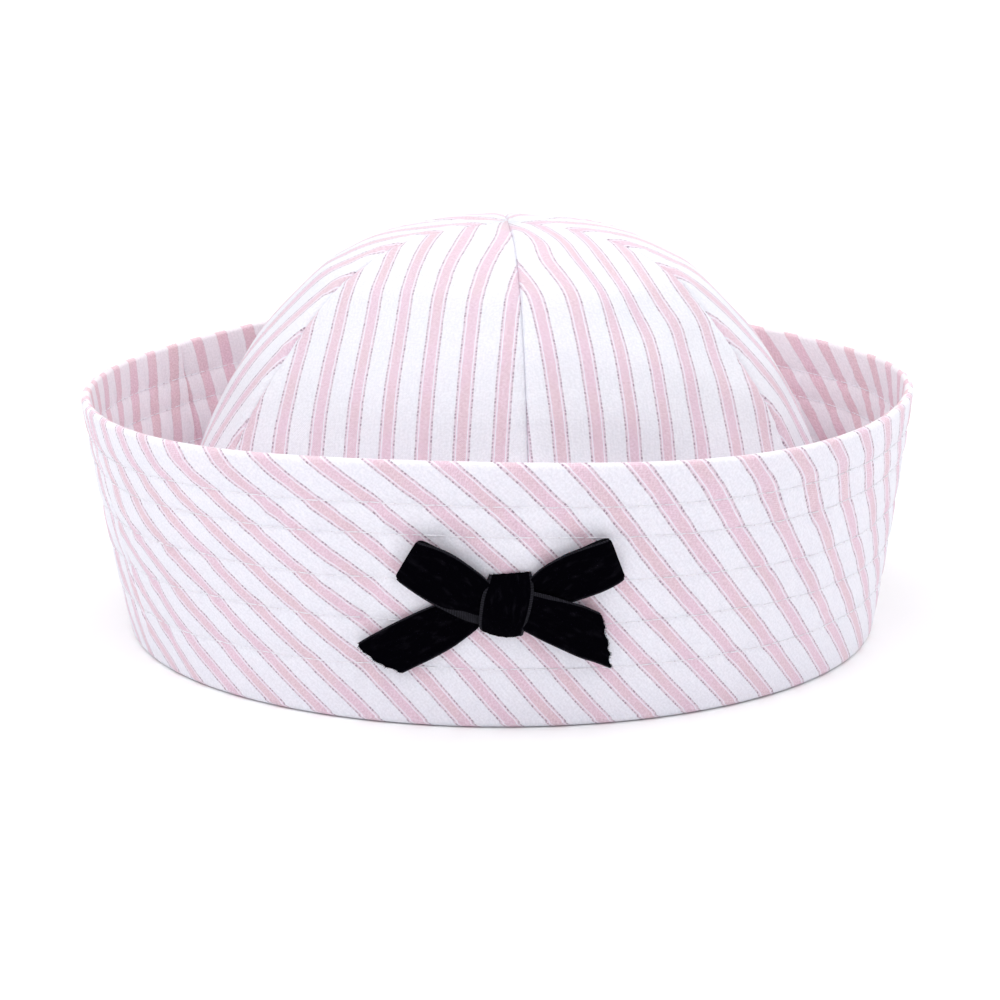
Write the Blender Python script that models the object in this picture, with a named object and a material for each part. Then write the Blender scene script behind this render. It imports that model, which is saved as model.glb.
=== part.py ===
"""Soft sailor cap: six crown gores, a turned-up brim and a velvet ribbon bow.

The cap stands on its head opening. +Z is up, the front with the bow faces -Y, and the
origin is the centre of the plane that the cap rests on. Lengths are in metres.
"""
import math

import bpy

MM = 0.001

# Head opening and turned-up brim
HEAD_RADIUS = 90.7 * MM        # 57 cm round the head
BRIM_WALL = 2.4 * MM           # two layers of cotton with an interlining
BRIM_BASE_RADIUS = 97.4 * MM   # outside, where the wall would meet the ground
BRIM_RIM_RADIUS = 107.9 * MM   # outside, at the rim
BRIM_HEIGHT = 64.0 * MM
BRIM_FOLD_RADIUS = 1.9 * MM    # outside of the bottom fold
BRIM_CREASE_RADIUS = 1.0 * MM  # inside of the bottom fold
BRIM_BASE_SHIFT = 1.3 * MM     # the base lies this far to +X of the rim's centre
BRIM_SEGMENTS = 72
FOLD_STEPS = 4                 # edges round the outside of the bottom fold
CREASE_STEPS = 3               # edges round its inside
RIM_STEPS = 6                  # edges over the rounded rim
WALL_SHARES = (0.25, 0.5, 0.75)   # rows between fold and rim, as shares of the height

# The rim's slow rise and fall: waves round the brim, then cosine and sine height
RIM_WAVES = (
    (1, 1.14 * MM, 0.66 * MM),
    (2, 1.70 * MM, -0.16 * MM),
    (3, -0.50 * MM, -0.61 * MM),
    (4, 0.85 * MM, -0.08 * MM),
)

# Crown
CROWN_WALL = 1.2 * MM
PIECE_GAP = 0.3 * MM
CROWN_LEAN = (1.5 * MM, 1.9 * MM)   # how far the dome slumps to +X and to the back
CROWN_LEAN_HEIGHT = 16.0 * MM       # most of the slump is taken up this low
CROWN_TIP_RADIUS = 0.8 * MM
CROWN_BASE_HEIGHT = BRIM_WALL + PIECE_GAP
SEAM_AZIMUTHS = (-63.0, 3.8, 66.5, 124.1, 181.8, 239.4)   # degrees from the front
GORE_COLUMNS = 8
GORE_ROWS = 20

# Outer profile of the crown: height, radius
CROWN_PROFILE = (
    (CROWN_BASE_HEIGHT, HEAD_RADIUS + CROWN_WALL),
    (23.8 * MM, 86.4 * MM),
    (41.6 * MM, 82.0 * MM),
    (58.3 * MM, 74.3 * MM),
    (75.4 * MM, 63.6 * MM),
    (91.0 * MM, 50.4 * MM),
    (96.6 * MM, 42.4 * MM),
    (101.2 * MM, 31.8 * MM),
    (104.3 * MM, 15.9 * MM),
    (105.2 * MM, CROWN_TIP_RADIUS),
)

# Bow: velvet ribbon, laid out on the brim in arc length (u), slope height (v) and lift
BOW_AZIMUTH = 0.8              # degrees from the front
BOW_SLOPE_HEIGHT = 35.0 * MM   # centre of the knot above the ground, along the wall
RIBBON_THICKNESS = 0.9 * MM
KNOT_HALF_WIDTH = 4.9 * MM
KNOT_TOP = 6.0 * MM
KNOT_BOTTOM = -9.9 * MM
KNOT_LIFT = 4.6 * MM
KNOT_EDGE = 0.9 * MM           # lift of the knot's upper and lower edges
KNOT_CROWNING = 0.35 * MM      # how much lower its sides lie than its middle
KNOT_LEAN = 0.13               # sideways per unit of height
KNOT_ROWS = 10
KNOT_COLUMNS = 4
RIBBON_STEPS = 9

# Edges of each ribbon as start, belly and end: u, v in millimetres
BOW_EDGES = {
    "bow_loop_left": (
        ((-4.4, 5.9), (-9.0, 10.8), (-19.0, 15.0)),
        ((-5.8, -4.9), (-15.5, -2.4), (-24.6, 5.6)),
    ),
    "bow_loop_right": (
        ((6.0, 6.8), (12.0, 10.8), (23.3, 14.3)),
        ((5.1, -1.2), (14.0, -2.4), (27.2, 5.2)),
    ),
    "bow_tail_left": (
        ((-5.5, -0.9), (-14.0, -1.0), (-36.0, -13.0)),
        ((-6.3, -8.0), (-11.5, -13.4), (-26.0, -20.8)),
    ),
    "bow_tail_right": (
        ((5.4, 1.8), (14.0, -0.6), (22.8, -5.6)),
        ((4.3, -7.4), (13.0, -13.0), (25.4, -19.0)),
    ),
}

# Course of each ribbon: how far along it (0 knot, 1 outer end), lift off the brim in mm
BOW_COURSES = {
    "bow_loop_left": (
        (0.0, 3.2), (0.25, 3.7), (0.6, 3.8), (0.9, 3.5), (0.97, 2.6),
        (0.9, 1.7), (0.6, 1.5), (0.3, 1.95), (0.0, 1.95),
    ),
    "bow_loop_right": (
        (0.0, 2.1), (0.25, 2.4), (0.5, 2.9), (0.75, 3.5), (0.92, 3.3), (0.97, 2.4),
        (0.9, 1.5), (0.6, 0.9), (0.3, 0.8), (0.0, 0.8),
    ),
    "bow_tail_left": ((0.0, 0.75), (0.35, 0.75), (0.7, 1.0), (1.0, 1.8)),
    "bow_tail_right": ((0.0, 3.4), (0.3, 3.9), (0.6, 3.9), (0.8, 2.6), (1.0, 1.9)),
}

# Finishes: colour, roughness
COTTON = ((0.90, 0.83, 0.87, 1.0), 0.85)
VELVET = ((0.006, 0.006, 0.008, 1.0), 0.95)

SPLINE_STEPS = 12              # fine steps between two rows of a curve's table
SMOOTH_ANGLE = 40.0            # degrees


def clear_scene():
    """Remove every object that the file opened with."""
    for item in list(bpy.data.objects):
        bpy.data.objects.remove(item, do_unlink=True)


def make_material(name, finish):
    """Return a plain Principled material."""
    colour, roughness = finish
    material = bpy.data.materials.new(name)
    material.use_nodes = True
    shader = material.node_tree.nodes["Principled BSDF"]
    shader.inputs["Base Color"].default_value = colour
    shader.inputs["Roughness"].default_value = roughness
    shader.inputs["Metallic"].default_value = 0.0
    return material


def make_object(name, points, faces, finish):
    """Link a smooth-shaded mesh object with a material of its own."""
    mesh = bpy.data.meshes.new(name)
    mesh.from_pydata(points, [], faces)
    mesh.validate()
    mesh.shade_smooth()
    mesh.set_sharp_from_angle(angle=math.radians(SMOOTH_ANGLE))
    mesh.materials.append(make_material(name, finish))
    item = bpy.data.objects.new(name, mesh)
    bpy.context.scene.collection.objects.link(item)
    return item


def rim_height(azimuth):
    """Height of the rim at an azimuth in radians, counted from the front towards +X."""
    return BRIM_HEIGHT + sum(
        cosine * math.cos(count * azimuth) + sine * math.sin(count * azimuth)
        for count, cosine, sine in RIM_WAVES
    )


def around(azimuth, radius, height, centre=(0.0, 0.0)):
    """Point at a radius and height, in the direction of an azimuth."""
    return (
        centre[0] + radius * math.sin(azimuth),
        centre[1] - radius * math.cos(azimuth),
        height,
    )


def arc(centre, radius, start, end, steps):
    """Points of an arc in the (radius, height) plane, both ends included; degrees."""
    angles = [math.radians(start + (end - start) * k / steps) for k in range(steps + 1)]
    return [
        (centre[0] + radius * math.cos(a), centre[1] + radius * math.sin(a))
        for a in angles
    ]


def brim_slope(height):
    """Outward lean of the brim's wall from upright, in radians, for a rim height."""
    return math.atan2(BRIM_RIM_RADIUS - BRIM_BASE_RADIUS, height)


def brim_section(azimuth):
    """Closed (radius, height) outline of the brim, from the flange round the outside."""
    top = rim_height(azimuth)
    slope = brim_slope(top)
    slope_degrees = math.degrees(slope)

    def wall(height, depth):
        """Point of the wall at a height on its outer line, set in by a depth."""
        radius = BRIM_BASE_RADIUS + height * math.tan(slope)
        return (radius - depth * math.cos(slope), height + depth * math.sin(slope))

    def fold_centre(reach):
        """Centre of a bottom arc that touches the wall and the ground at one reach."""
        radius = BRIM_BASE_RADIUS + reach * math.tan(slope) - reach / math.cos(slope)
        return (radius, reach)

    outside = arc(
        fold_centre(BRIM_FOLD_RADIUS), BRIM_FOLD_RADIUS, -90.0, -slope_degrees, FOLD_STEPS
    )
    rim_radius = BRIM_WALL / 2.0
    rim_centre = wall(top - rim_radius, rim_radius)
    rim = arc(rim_centre, rim_radius, -slope_degrees, 180.0 - slope_degrees, RIM_STEPS)
    crease_centre = fold_centre(BRIM_WALL + BRIM_CREASE_RADIUS)
    crease = arc(crease_centre, BRIM_CREASE_RADIUS, -slope_degrees, -90.0, CREASE_STEPS)
    outer_wall = [wall(top * share, 0.0) for share in WALL_SHARES]
    inner_wall = [wall(top * share, BRIM_WALL) for share in reversed(WALL_SHARES)]
    flange = [(HEAD_RADIUS, BRIM_WALL), (HEAD_RADIUS, 0.0)]
    return outside + outer_wall + rim + inner_wall + crease + flange


def build_brim():
    """The brim: a flange under the crown's edge, a bottom fold and the flared wall."""
    points = []
    for segment in range(BRIM_SEGMENTS):
        azimuth = 2.0 * math.pi * segment / BRIM_SEGMENTS
        top = rim_height(azimuth)
        for radius, height in brim_section(azimuth):
            shift = BRIM_BASE_SHIFT * (1.0 - min(height / top, 1.0))
            points.append(around(azimuth, radius, height, (shift, 0.0)))
    size = len(points) // BRIM_SEGMENTS
    faces = []
    for segment in range(BRIM_SEGMENTS):
        here = segment * size
        after = (segment + 1) % BRIM_SEGMENTS * size
        for k in range(size):
            k_next = (k + 1) % size
            faces.append((here + k, after + k, after + k_next, here + k_next))
    return make_object("brim", points, faces, COTTON)


def catmull_rom(rows, count):
    """Resample rows of numbers with a Catmull-Rom curve, evenly along its course."""
    padded = [_mirror(rows[1], rows[0])] + list(rows) + [_mirror(rows[-2], rows[-1])]
    fine = []
    for k in range(1, len(padded) - 2):
        for step in range(SPLINE_STEPS):
            t = step / SPLINE_STEPS
            fine.append(tuple(
                0.5 * (2 * b + (c - a) * t + (2 * a - 5 * b + 4 * c - d) * t * t
                       + (3 * b - a - 3 * c + d) * t ** 3)
                for a, b, c, d in zip(*padded[k - 1:k + 3])
            ))
    fine.append(tuple(rows[-1]))
    reach = [0.0]
    for before, after in zip(fine, fine[1:]):
        reach.append(reach[-1] + math.dist(before, after))
    result = []
    k = 0
    for index in range(count + 1):
        goal = reach[-1] * index / count
        while k < len(reach) - 2 and reach[k + 1] < goal:
            k += 1
        share = (goal - reach[k]) / (reach[k + 1] - reach[k])
        result.append(tuple(a + (b - a) * share for a, b in zip(fine[k], fine[k + 1])))
    return result


def _mirror(inner, end):
    """The point as far beyond an end as the next one lies inside it."""
    return tuple(2.0 * e - i for i, e in zip(inner, end))


def crown_rows():
    """Outer and inner (height, radius) of the crown wall, row by row from the base."""
    outer = catmull_rom(CROWN_PROFILE, GORE_ROWS)
    rows = []
    for k, (height, radius) in enumerate(outer):
        below = outer[max(k - 1, 0)]
        above = outer[min(k + 1, GORE_ROWS)]
        rise, run = above[0] - below[0], above[1] - below[1]
        length = math.hypot(rise, run)
        if k == 0:
            inward, down = CROWN_WALL, 0.0
        elif k == GORE_ROWS:
            inward, down = 0.0, CROWN_WALL
        else:
            inward, down = CROWN_WALL * rise / length, -CROWN_WALL * run / length
        rows.append(((height, radius), (height - down, radius - inward)))
    return rows


def crown_centre(height):
    """Centre of the crown's round section: over the base, then slumped a little."""
    share = 1.0 - math.exp(-(height - CROWN_BASE_HEIGHT) / CROWN_LEAN_HEIGHT)
    return (BRIM_BASE_SHIFT + CROWN_LEAN[0] * share, CROWN_LEAN[1] * share)


def build_gore(name, start, end):
    """One gore of the crown between two seams, as a curved wall; azimuths in degrees."""
    rows = crown_rows()
    points = []
    for side in (0, 1):
        for row in rows:
            height, radius = row[side]
            trim = math.asin(PIECE_GAP / 2.0 / radius)
            first = math.radians(start) + trim
            last = math.radians(end) - trim
            centre = crown_centre(row[0][0])
            for column in range(GORE_COLUMNS + 1):
                azimuth = first + (last - first) * column / GORE_COLUMNS
                points.append(around(azimuth, radius, height, centre))
    wide = GORE_COLUMNS + 1
    inner = wide * len(rows)
    faces = []
    for r in range(len(rows) - 1):
        for c in range(GORE_COLUMNS):
            a = r * wide + c
            faces.append((a, a + 1, a + 1 + wide, a + wide))
            faces.append((inner + a, inner + a + wide, inner + a + 1 + wide, inner + a + 1))
    top = (len(rows) - 1) * wide
    for c in range(GORE_COLUMNS):
        faces.append((c + 1, c, inner + c, inner + c + 1))
        faces.append((top + c, top + c + 1, inner + top + c + 1, inner + top + c))
    for r in range(len(rows) - 1):
        a = r * wide
        b = a + GORE_COLUMNS
        faces.append((a, a + wide, inner + a + wide, inner + a))
        faces.append((b + wide, b, inner + b, inner + b + wide))
    return make_object(name, points, faces, COTTON)


def build_crown():
    """The six gores, numbered from the front left towards +X and round the back."""
    ends = SEAM_AZIMUTHS[1:] + (SEAM_AZIMUTHS[0] + 360.0,)
    for number, (start, end) in enumerate(zip(SEAM_AZIMUTHS, ends), start=1):
        build_gore(f"crown_gore_{number}", start, end)


def on_brim(u, v, lift):
    """Point on the brim's front: arc length u, slope height v, lift off the wall."""
    azimuth = math.radians(BOW_AZIMUTH)
    top = rim_height(azimuth)
    slope = brim_slope(top)
    centre_radius = BRIM_BASE_RADIUS + BOW_SLOPE_HEIGHT * math.sin(slope)
    azimuth += u / centre_radius
    height = (BOW_SLOPE_HEIGHT + v) * math.cos(slope)
    radius = BRIM_BASE_RADIUS + height * math.tan(slope) + lift * math.cos(slope)
    shift = BRIM_BASE_SHIFT * (1.0 - height / top)
    return around(azimuth, radius, height - lift * math.sin(slope), (shift, 0.0))


def bezier(edge, t):
    """Point of an edge that starts, bellies and ends at three (u, v) points, in mm."""
    a, b, c = edge
    return tuple(
        ((1 - t) ** 2 * p + 2 * t * (1 - t) * q + t * t * r) * MM
        for p, q, r in zip(a, b, c)
    )


def ribbon_normals(course, length):
    """Unit normals of a course, as (share of the length, lift in metres)."""
    normals = []
    for k in range(len(course)):
        before = course[max(k - 1, 0)]
        after = course[min(k + 1, len(course) - 1)]
        run = (after[0] - before[0]) * length
        rise = after[1] - before[1]
        size = math.hypot(run, rise)
        normals.append((-rise / size / length, run / size))
    return normals


def build_ribbon(name):
    """A stretch of velvet ribbon: its course carried across between its two edges."""
    top_edge, bottom_edge = BOW_EDGES[name]
    length = math.dist(bezier(top_edge, 0.0), bezier(top_edge, 1.0))
    table = [(share, lift * MM / length) for share, lift in BOW_COURSES[name]]
    steps = RIBBON_STEPS if name.startswith("bow_tail") else 2 * RIBBON_STEPS
    course = [(share, lift * length) for share, lift in catmull_rom(table, steps)]
    half = RIBBON_THICKNESS / 2.0
    points = []
    for (share, lift), (along, out) in zip(course, ribbon_normals(course, length)):
        for side in (1.0, -1.0):
            t = share + side * half * along
            for edge in (top_edge, bottom_edge):
                u, v = bezier(edge, t)
                points.append(on_brim(u, v, lift + side * half * out))
    # Each station holds: outside top, outside bottom, inside top, inside bottom
    faces = [(0, 2, 3, 1)]
    for k in range(len(course) - 1):
        a, b = 4 * k, 4 * (k + 1)
        faces.append((a, a + 1, b + 1, b))
        faces.append((a + 3, a + 2, b + 2, b + 3))
        faces.append((a + 2, a, b, b + 2))
        faces.append((a + 1, a + 3, b + 3, b + 1))
    last = 4 * (len(course) - 1)
    faces.append((last, last + 1, last + 3, last + 2))
    if bezier(top_edge, 1.0)[0] < 0.0:
        faces = [tuple(reversed(face)) for face in faces]
    return make_object(name, points, faces, VELVET)


def build_knot():
    """The knot: the ribbon's turn round the middle, one full-bodied band."""
    points = []
    for row in range(KNOT_ROWS + 1):
        share = row / KNOT_ROWS
        v = KNOT_BOTTOM + (KNOT_TOP - KNOT_BOTTOM) * share
        lift = KNOT_EDGE + (KNOT_LIFT - KNOT_EDGE) * math.sqrt(math.sin(math.pi * share))
        for front in (True, False):
            for column in range(KNOT_COLUMNS + 1):
                across = 2.0 * column / KNOT_COLUMNS - 1.0
                u = KNOT_HALF_WIDTH * across + KNOT_LEAN * v
                crowned = lift - KNOT_CROWNING * across * across
                points.append(on_brim(u, v, crowned if front else PIECE_GAP))
    wide = KNOT_COLUMNS + 1
    step = 2 * wide
    faces = []
    for row in range(KNOT_ROWS):
        for c in range(KNOT_COLUMNS):
            a = row * step + c
            faces.append((a, a + 1, a + 1 + step, a + step))
            b = a + wide
            faces.append((b + 1, b, b + step, b + 1 + step))
        a = row * step
        faces.append((a + wide, a, a + step, a + wide + step))
        b = a + KNOT_COLUMNS
        faces.append((b, b + wide, b + wide + step, b + step))
    for c in range(KNOT_COLUMNS):
        faces.append((c + 1, c, c + wide, c + 1 + wide))
        top = KNOT_ROWS * step + c
        faces.append((top, top + 1, top + 1 + wide, top + wide))
    return make_object("bow_knot", points, faces, VELVET)


def main():
    """Build the cap."""
    clear_scene()
    build_brim()
    build_crown()
    for name in BOW_EDGES:
        build_ribbon(name)
    build_knot()


if __name__ == "__main__":
    main()
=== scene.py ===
"""Sailor cap in striped cotton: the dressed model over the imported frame.

A domed crown of six gores, a stitched turned-up brim and a velvet ribbon bow.
Sizes are in millimetres inside the classes and become metres in the meshes. +Z is up,
the front is towards -Y, and azimuths run from the front towards +X.
"""

import logging
import math
from collections.abc import Callable
from dataclasses import dataclass, field
from enum import Enum

import bpy
import numpy as np
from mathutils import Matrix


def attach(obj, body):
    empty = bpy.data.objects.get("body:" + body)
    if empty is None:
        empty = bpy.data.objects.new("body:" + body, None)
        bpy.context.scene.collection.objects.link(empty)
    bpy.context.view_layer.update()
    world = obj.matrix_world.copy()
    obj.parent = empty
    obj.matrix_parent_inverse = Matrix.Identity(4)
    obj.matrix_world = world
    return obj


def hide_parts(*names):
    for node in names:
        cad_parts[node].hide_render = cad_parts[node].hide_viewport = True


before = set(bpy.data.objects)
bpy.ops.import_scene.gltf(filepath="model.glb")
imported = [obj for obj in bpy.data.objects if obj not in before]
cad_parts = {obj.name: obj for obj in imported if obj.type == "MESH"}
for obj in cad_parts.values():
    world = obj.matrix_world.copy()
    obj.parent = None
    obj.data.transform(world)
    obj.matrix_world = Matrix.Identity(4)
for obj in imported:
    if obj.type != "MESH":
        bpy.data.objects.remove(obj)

LOG = logging.getLogger("sailor_cap")
MM = 0.001
FULL_TURN = 360.0
STRIPE_REPEAT = 9.1
BRIM_SLOPE_HEIGHT = 64.9


# --- Small tools -------------------------------------------------------------------


def bell(distance: np.ndarray, width: float) -> np.ndarray:
    """A smooth bump of height 1, about as wide on each side as width."""
    return np.exp(-((distance / width) ** 2))


def ramp(value: np.ndarray, low: float, high: float) -> np.ndarray:
    """A smooth step from 0 at low to 1 at high."""
    share = np.clip((value - low) / (high - low), 0.0, 1.0)
    return share * share * (3.0 - 2.0 * share)


def unit(vectors: np.ndarray) -> np.ndarray:
    """The vectors, each made one long."""
    return vectors / np.maximum(np.linalg.norm(vectors, axis=-1, keepdims=True), 1e-12)


def degrees_past(azimuth: np.ndarray, mark: float) -> np.ndarray:
    """How many degrees, from -180 to 180, azimuths in radians lie past a mark in degrees."""
    return (np.degrees(azimuth) - mark + 180.0) % FULL_TURN - 180.0


def linked(name: str, data: bpy.types.ID) -> bpy.types.Object:
    """Makes an object of a mesh, light or camera and puts it in the scene.

    Args:
        name: The object's name.
        data: What it shows.

    Returns:
        The object.
    """
    made = bpy.data.objects.new(name, data)
    bpy.context.scene.collection.objects.link(made)
    return made


def smooth_path(points: tuple, count: int) -> np.ndarray:
    """A smooth path through a few points, with evenly spaced stations.

    Args:
        points: The points that it passes, each of the same number of coordinates.
        count: How many stations it gets.

    Returns:
        The stations, one a row.
    """
    knots = np.array(points, dtype=float)
    knots = np.vstack([2 * knots[0] - knots[1], knots, 2 * knots[-1] - knots[-2]])
    steps = np.linspace(0.0, 1.0, 24, endpoint=False)[:, None]
    runs = []
    for k in range(1, len(knots) - 2):
        a, b, c, d = knots[k - 1 : k + 3]
        bend = 2 * b + (c - a) * steps + (2 * a - 5 * b + 4 * c - d) * steps**2
        runs.append((bend + (3 * b - a - 3 * c + d) * steps**3) / 2.0)
    path = np.vstack(runs + [knots[-2][None]])
    run = np.concatenate([[0.0], np.cumsum(np.linalg.norm(np.diff(path, axis=0), axis=1))])
    stops = np.linspace(0.0, run[-1], count)
    return np.stack([np.interp(stops, run, path[:, k]) for k in range(path.shape[1])], -1)


@dataclass(frozen=True)
class Unevenness:
    """Smooth seeded waviness through space, mostly between -1 and 1."""

    seed: int
    shortest: float
    longest: float
    waves: int = 12

    def at(self, points: np.ndarray) -> np.ndarray:
        """How far the surface is off at each point.

        Args:
            points: Places in mm, with x, y, z last.

        Returns:
            One value for each place.
        """
        chance = np.random.default_rng(self.seed)
        total = np.zeros(points.shape[:-1])
        for _ in range(self.waves):
            heading = unit(chance.normal(size=3))
            length = chance.uniform(self.shortest, self.longest)
            total += np.sin(points @ heading * (math.tau / length) + chance.uniform(0, math.tau))
        return total / math.sqrt(self.waves)


@dataclass(frozen=True)
class Gathers:
    """Small seeded puckers that close up round the cap, mostly between -1 and 1."""

    seed: int
    fewest: int
    most: int
    waves: int = 7

    def at(self, azimuth: np.ndarray) -> np.ndarray:
        """How strong the pucker is.

        Args:
            azimuth: In radians.

        Returns:
            One value for each azimuth.
        """
        chance = np.random.default_rng(self.seed)
        total = np.zeros(np.shape(azimuth))
        for _ in range(self.waves):
            count = chance.integers(self.fewest, self.most)
            total = total + np.sin(count * azimuth + chance.uniform(0, math.tau))
        return total / math.sqrt(self.waves)


class ClothBody:
    """Gathers closed bands of quads, with their place on the cloth, into one mesh."""

    def __init__(self, name: str, facing: bool = False) -> None:
        """Starts an empty body.

        Args:
            name: The body's name.
            facing: Whether its slots mark the facing cloth and not materials.
        """
        self.name = name
        self.facing = facing
        self.points: list[np.ndarray] = []
        self.faces: list[np.ndarray] = []
        self.cloth: list[np.ndarray] = []
        self.slots: list[np.ndarray] = []
        self.count = 0

    @staticmethod
    def spread(cloth: np.ndarray) -> np.ndarray:
        """Gives each face's four corners from a grid of cloth places."""
        low, high = cloth[:-1], cloth[1:]
        return np.stack([low[:, :-1], low[:, 1:], high[:, 1:], high[:, :-1]], 2)

    def band(
        self, stations: np.ndarray, cloth: np.ndarray, slots: np.ndarray, ring: bool = False
    ) -> None:
        """Adds a band: closed sections that follow each other, capped unless it is a ring.

        Args:
            stations: Points in mm, as (station, place round the section, 3).
            cloth: Cloth places in mm of each face's corners, as (span, place, 4, 2).
            slots: The material slot of each place round the section, or of each face.
            ring: Whether the last station joins the first.
        """
        number, loop = stations.shape[:2]
        index = np.arange(number * loop).reshape(number, loop) + self.count
        after = np.roll(index, -1, axis=0)
        low, high = (index, after) if ring else (index[:-1], after[:-1])
        quads = np.stack([low, np.roll(low, -1, 1), np.roll(high, -1, 1), high], -1)
        faces, corners = [quads.reshape(-1, 4)], [cloth.reshape(-1, 4, 2)]
        slots = np.broadcast_to(slots, (len(low), loop))
        kinds = [slots.reshape(-1)]
        if not ring:
            j = np.arange(loop // 2 - 1)
            near, far = index[0], index[-1]
            faces.append(np.stack([near[j + 1], near[j], near[loop - 1 - j], near[loop - 2 - j]], -1))
            faces.append(np.stack([far[j], far[j + 1], far[loop - 2 - j], far[loop - 1 - j]], -1))
            first, last = cloth[0], cloth[-1]
            back = loop - 2 - j
            corners.append(np.stack([first[j, 1], first[j, 0], first[back, 1], first[back, 0]], 1))
            corners.append(np.stack([last[j, 3], last[j, 2], last[back, 3], last[back, 2]], 1))
            kinds += [slots[0, j], slots[-1, j]]
        faces, corners = np.concatenate(faces), np.concatenate(corners)
        places = stations.reshape(-1, 3)
        a, b, c, d = (places[faces[:, k] - self.count] for k in range(4))
        volume = np.einsum("ij,ij->i", a, np.cross(b, c) + np.cross(c, d)).sum()
        if volume < 0.0:
            faces, corners = faces[:, ::-1], corners[:, ::-1]
        self.points.append(places)
        self.faces.append(faces)
        self.cloth.append(corners)
        self.slots.append(np.concatenate(kinds))
        self.count += number * loop

    def made(self, materials: tuple, sharp: float = 50.0) -> bpy.types.Object:
        """Makes the object.

        Args:
            materials: One material for each slot used.
            sharp: Edges that turn by more degrees than this stay crisp.

        Returns:
            The new object, in the scene.
        """
        mesh = bpy.data.meshes.new(self.name)
        points = np.concatenate(self.points) * MM
        faces = np.concatenate(self.faces)
        mesh.from_pydata(points.tolist(), [], faces.tolist())
        uv = mesh.uv_layers.new(name="cloth")
        uv.data.foreach_set("uv", (np.concatenate(self.cloth) * MM).astype(np.float32).ravel())
        slots = np.concatenate(self.slots)
        if self.facing:
            facing = mesh.attributes.new("facing", "FLOAT", "FACE")
            facing.data.foreach_set("value", (slots > 0).astype(np.float32))
            slots = slots * 0
        mesh.polygons.foreach_set("material_index", slots.astype(np.int32))
        mesh.polygons.foreach_set("use_smooth", np.ones(len(faces), dtype=bool))
        for material in materials:
            mesh.materials.append(material)
        mesh.update()
        mesh.set_sharp_from_angle(angle=math.radians(sharp))
        return linked(self.name, mesh)


def thread_path(
    name: str, runs: list[np.ndarray], headings: list[np.ndarray], closed: bool
) -> bpy.types.Mesh:
    """Makes the lines that a Geometry Nodes tree follows.

    Args:
        name: The mesh's name.
        runs: Points of each line, in mm.
        headings: The direction that faces away from the cloth at each point.
        closed: Whether each line closes up.

    Returns:
        A mesh of edges with the vector attribute "outward".
    """
    points = np.concatenate(runs) * MM
    edges, start = [], 0
    for run in runs:
        last = len(run) if closed else len(run) - 1
        edges += [(start + k, start + (k + 1) % len(run)) for k in range(last)]
        start += len(run)
    mesh = bpy.data.meshes.new(name)
    mesh.from_pydata(points.tolist(), edges, [])
    outward = mesh.attributes.new("outward", "FLOAT_VECTOR", "POINT")
    outward.data.foreach_set("vector", np.concatenate(headings).astype(np.float32).ravel())
    return mesh


# --- Node trees --------------------------------------------------------------------


class Bench:
    """Adds nodes to a tree and joins them."""

    def __init__(self, tree: bpy.types.NodeTree) -> None:
        """Works on this tree."""
        self.tree = tree

    def add(self, kind: str, inputs: dict | None = None, **settings) -> bpy.types.Node:
        """Adds a node.

        Args:
            kind: The node's type name.
            inputs: Values or output sockets for its inputs, by name or number.
            settings: The node's own properties.

        Returns:
            The node.
        """
        node = self.tree.nodes.new(kind)
        for key, value in settings.items():
            setattr(node, key, value)
        for key, value in (inputs or {}).items():
            self.feed(node.inputs[key], value)
        return node

    def feed(self, socket: bpy.types.NodeSocket, value: object) -> None:
        """Joins an output socket to an input, or sets the input's value.

        Args:
            socket: The input.
            value: The output socket or the value.
        """
        if isinstance(value, bpy.types.NodeSocket):
            self.tree.links.new(value, socket)
        else:
            socket.default_value = value

    def math(self, operation: str, *values: object) -> bpy.types.NodeSocket:
        """Adds a Math node.

        Args:
            operation: What it does.
            values: Its inputs, as numbers or output sockets.

        Returns:
            Its result.
        """
        node = self.add("ShaderNodeMath", operation=operation)
        for socket, value in zip(node.inputs, values):
            self.feed(socket, value)
        return node.outputs[0]

    def step(
        self, value: object, low: float, high: float, first: float = 0.0, last: float = 1.0
    ) -> bpy.types.NodeSocket:
        """A smooth step of a value from first at low to last at high."""
        spans = {"Value": value, "From Min": low, "From Max": high, "To Min": first, "To Max": last}
        return self.add("ShaderNodeMapRange", spans, interpolation_type="SMOOTHSTEP").outputs[0]

    def within(
        self, value: object, half: float, soft: float, strength: float = 1.0
    ) -> bpy.types.NodeSocket:
        """A mask of this strength where a value is below half, with an edge as soft as soft."""
        return self.step(value, half + soft, half - soft, 0.0, strength)

    def vector(self, x: object, y: object, z: object = 0.0) -> bpy.types.NodeSocket:
        """A vector from three values."""
        return self.add("ShaderNodeCombineXYZ", {0: x, 1: y, 2: z}).outputs[0]


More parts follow.
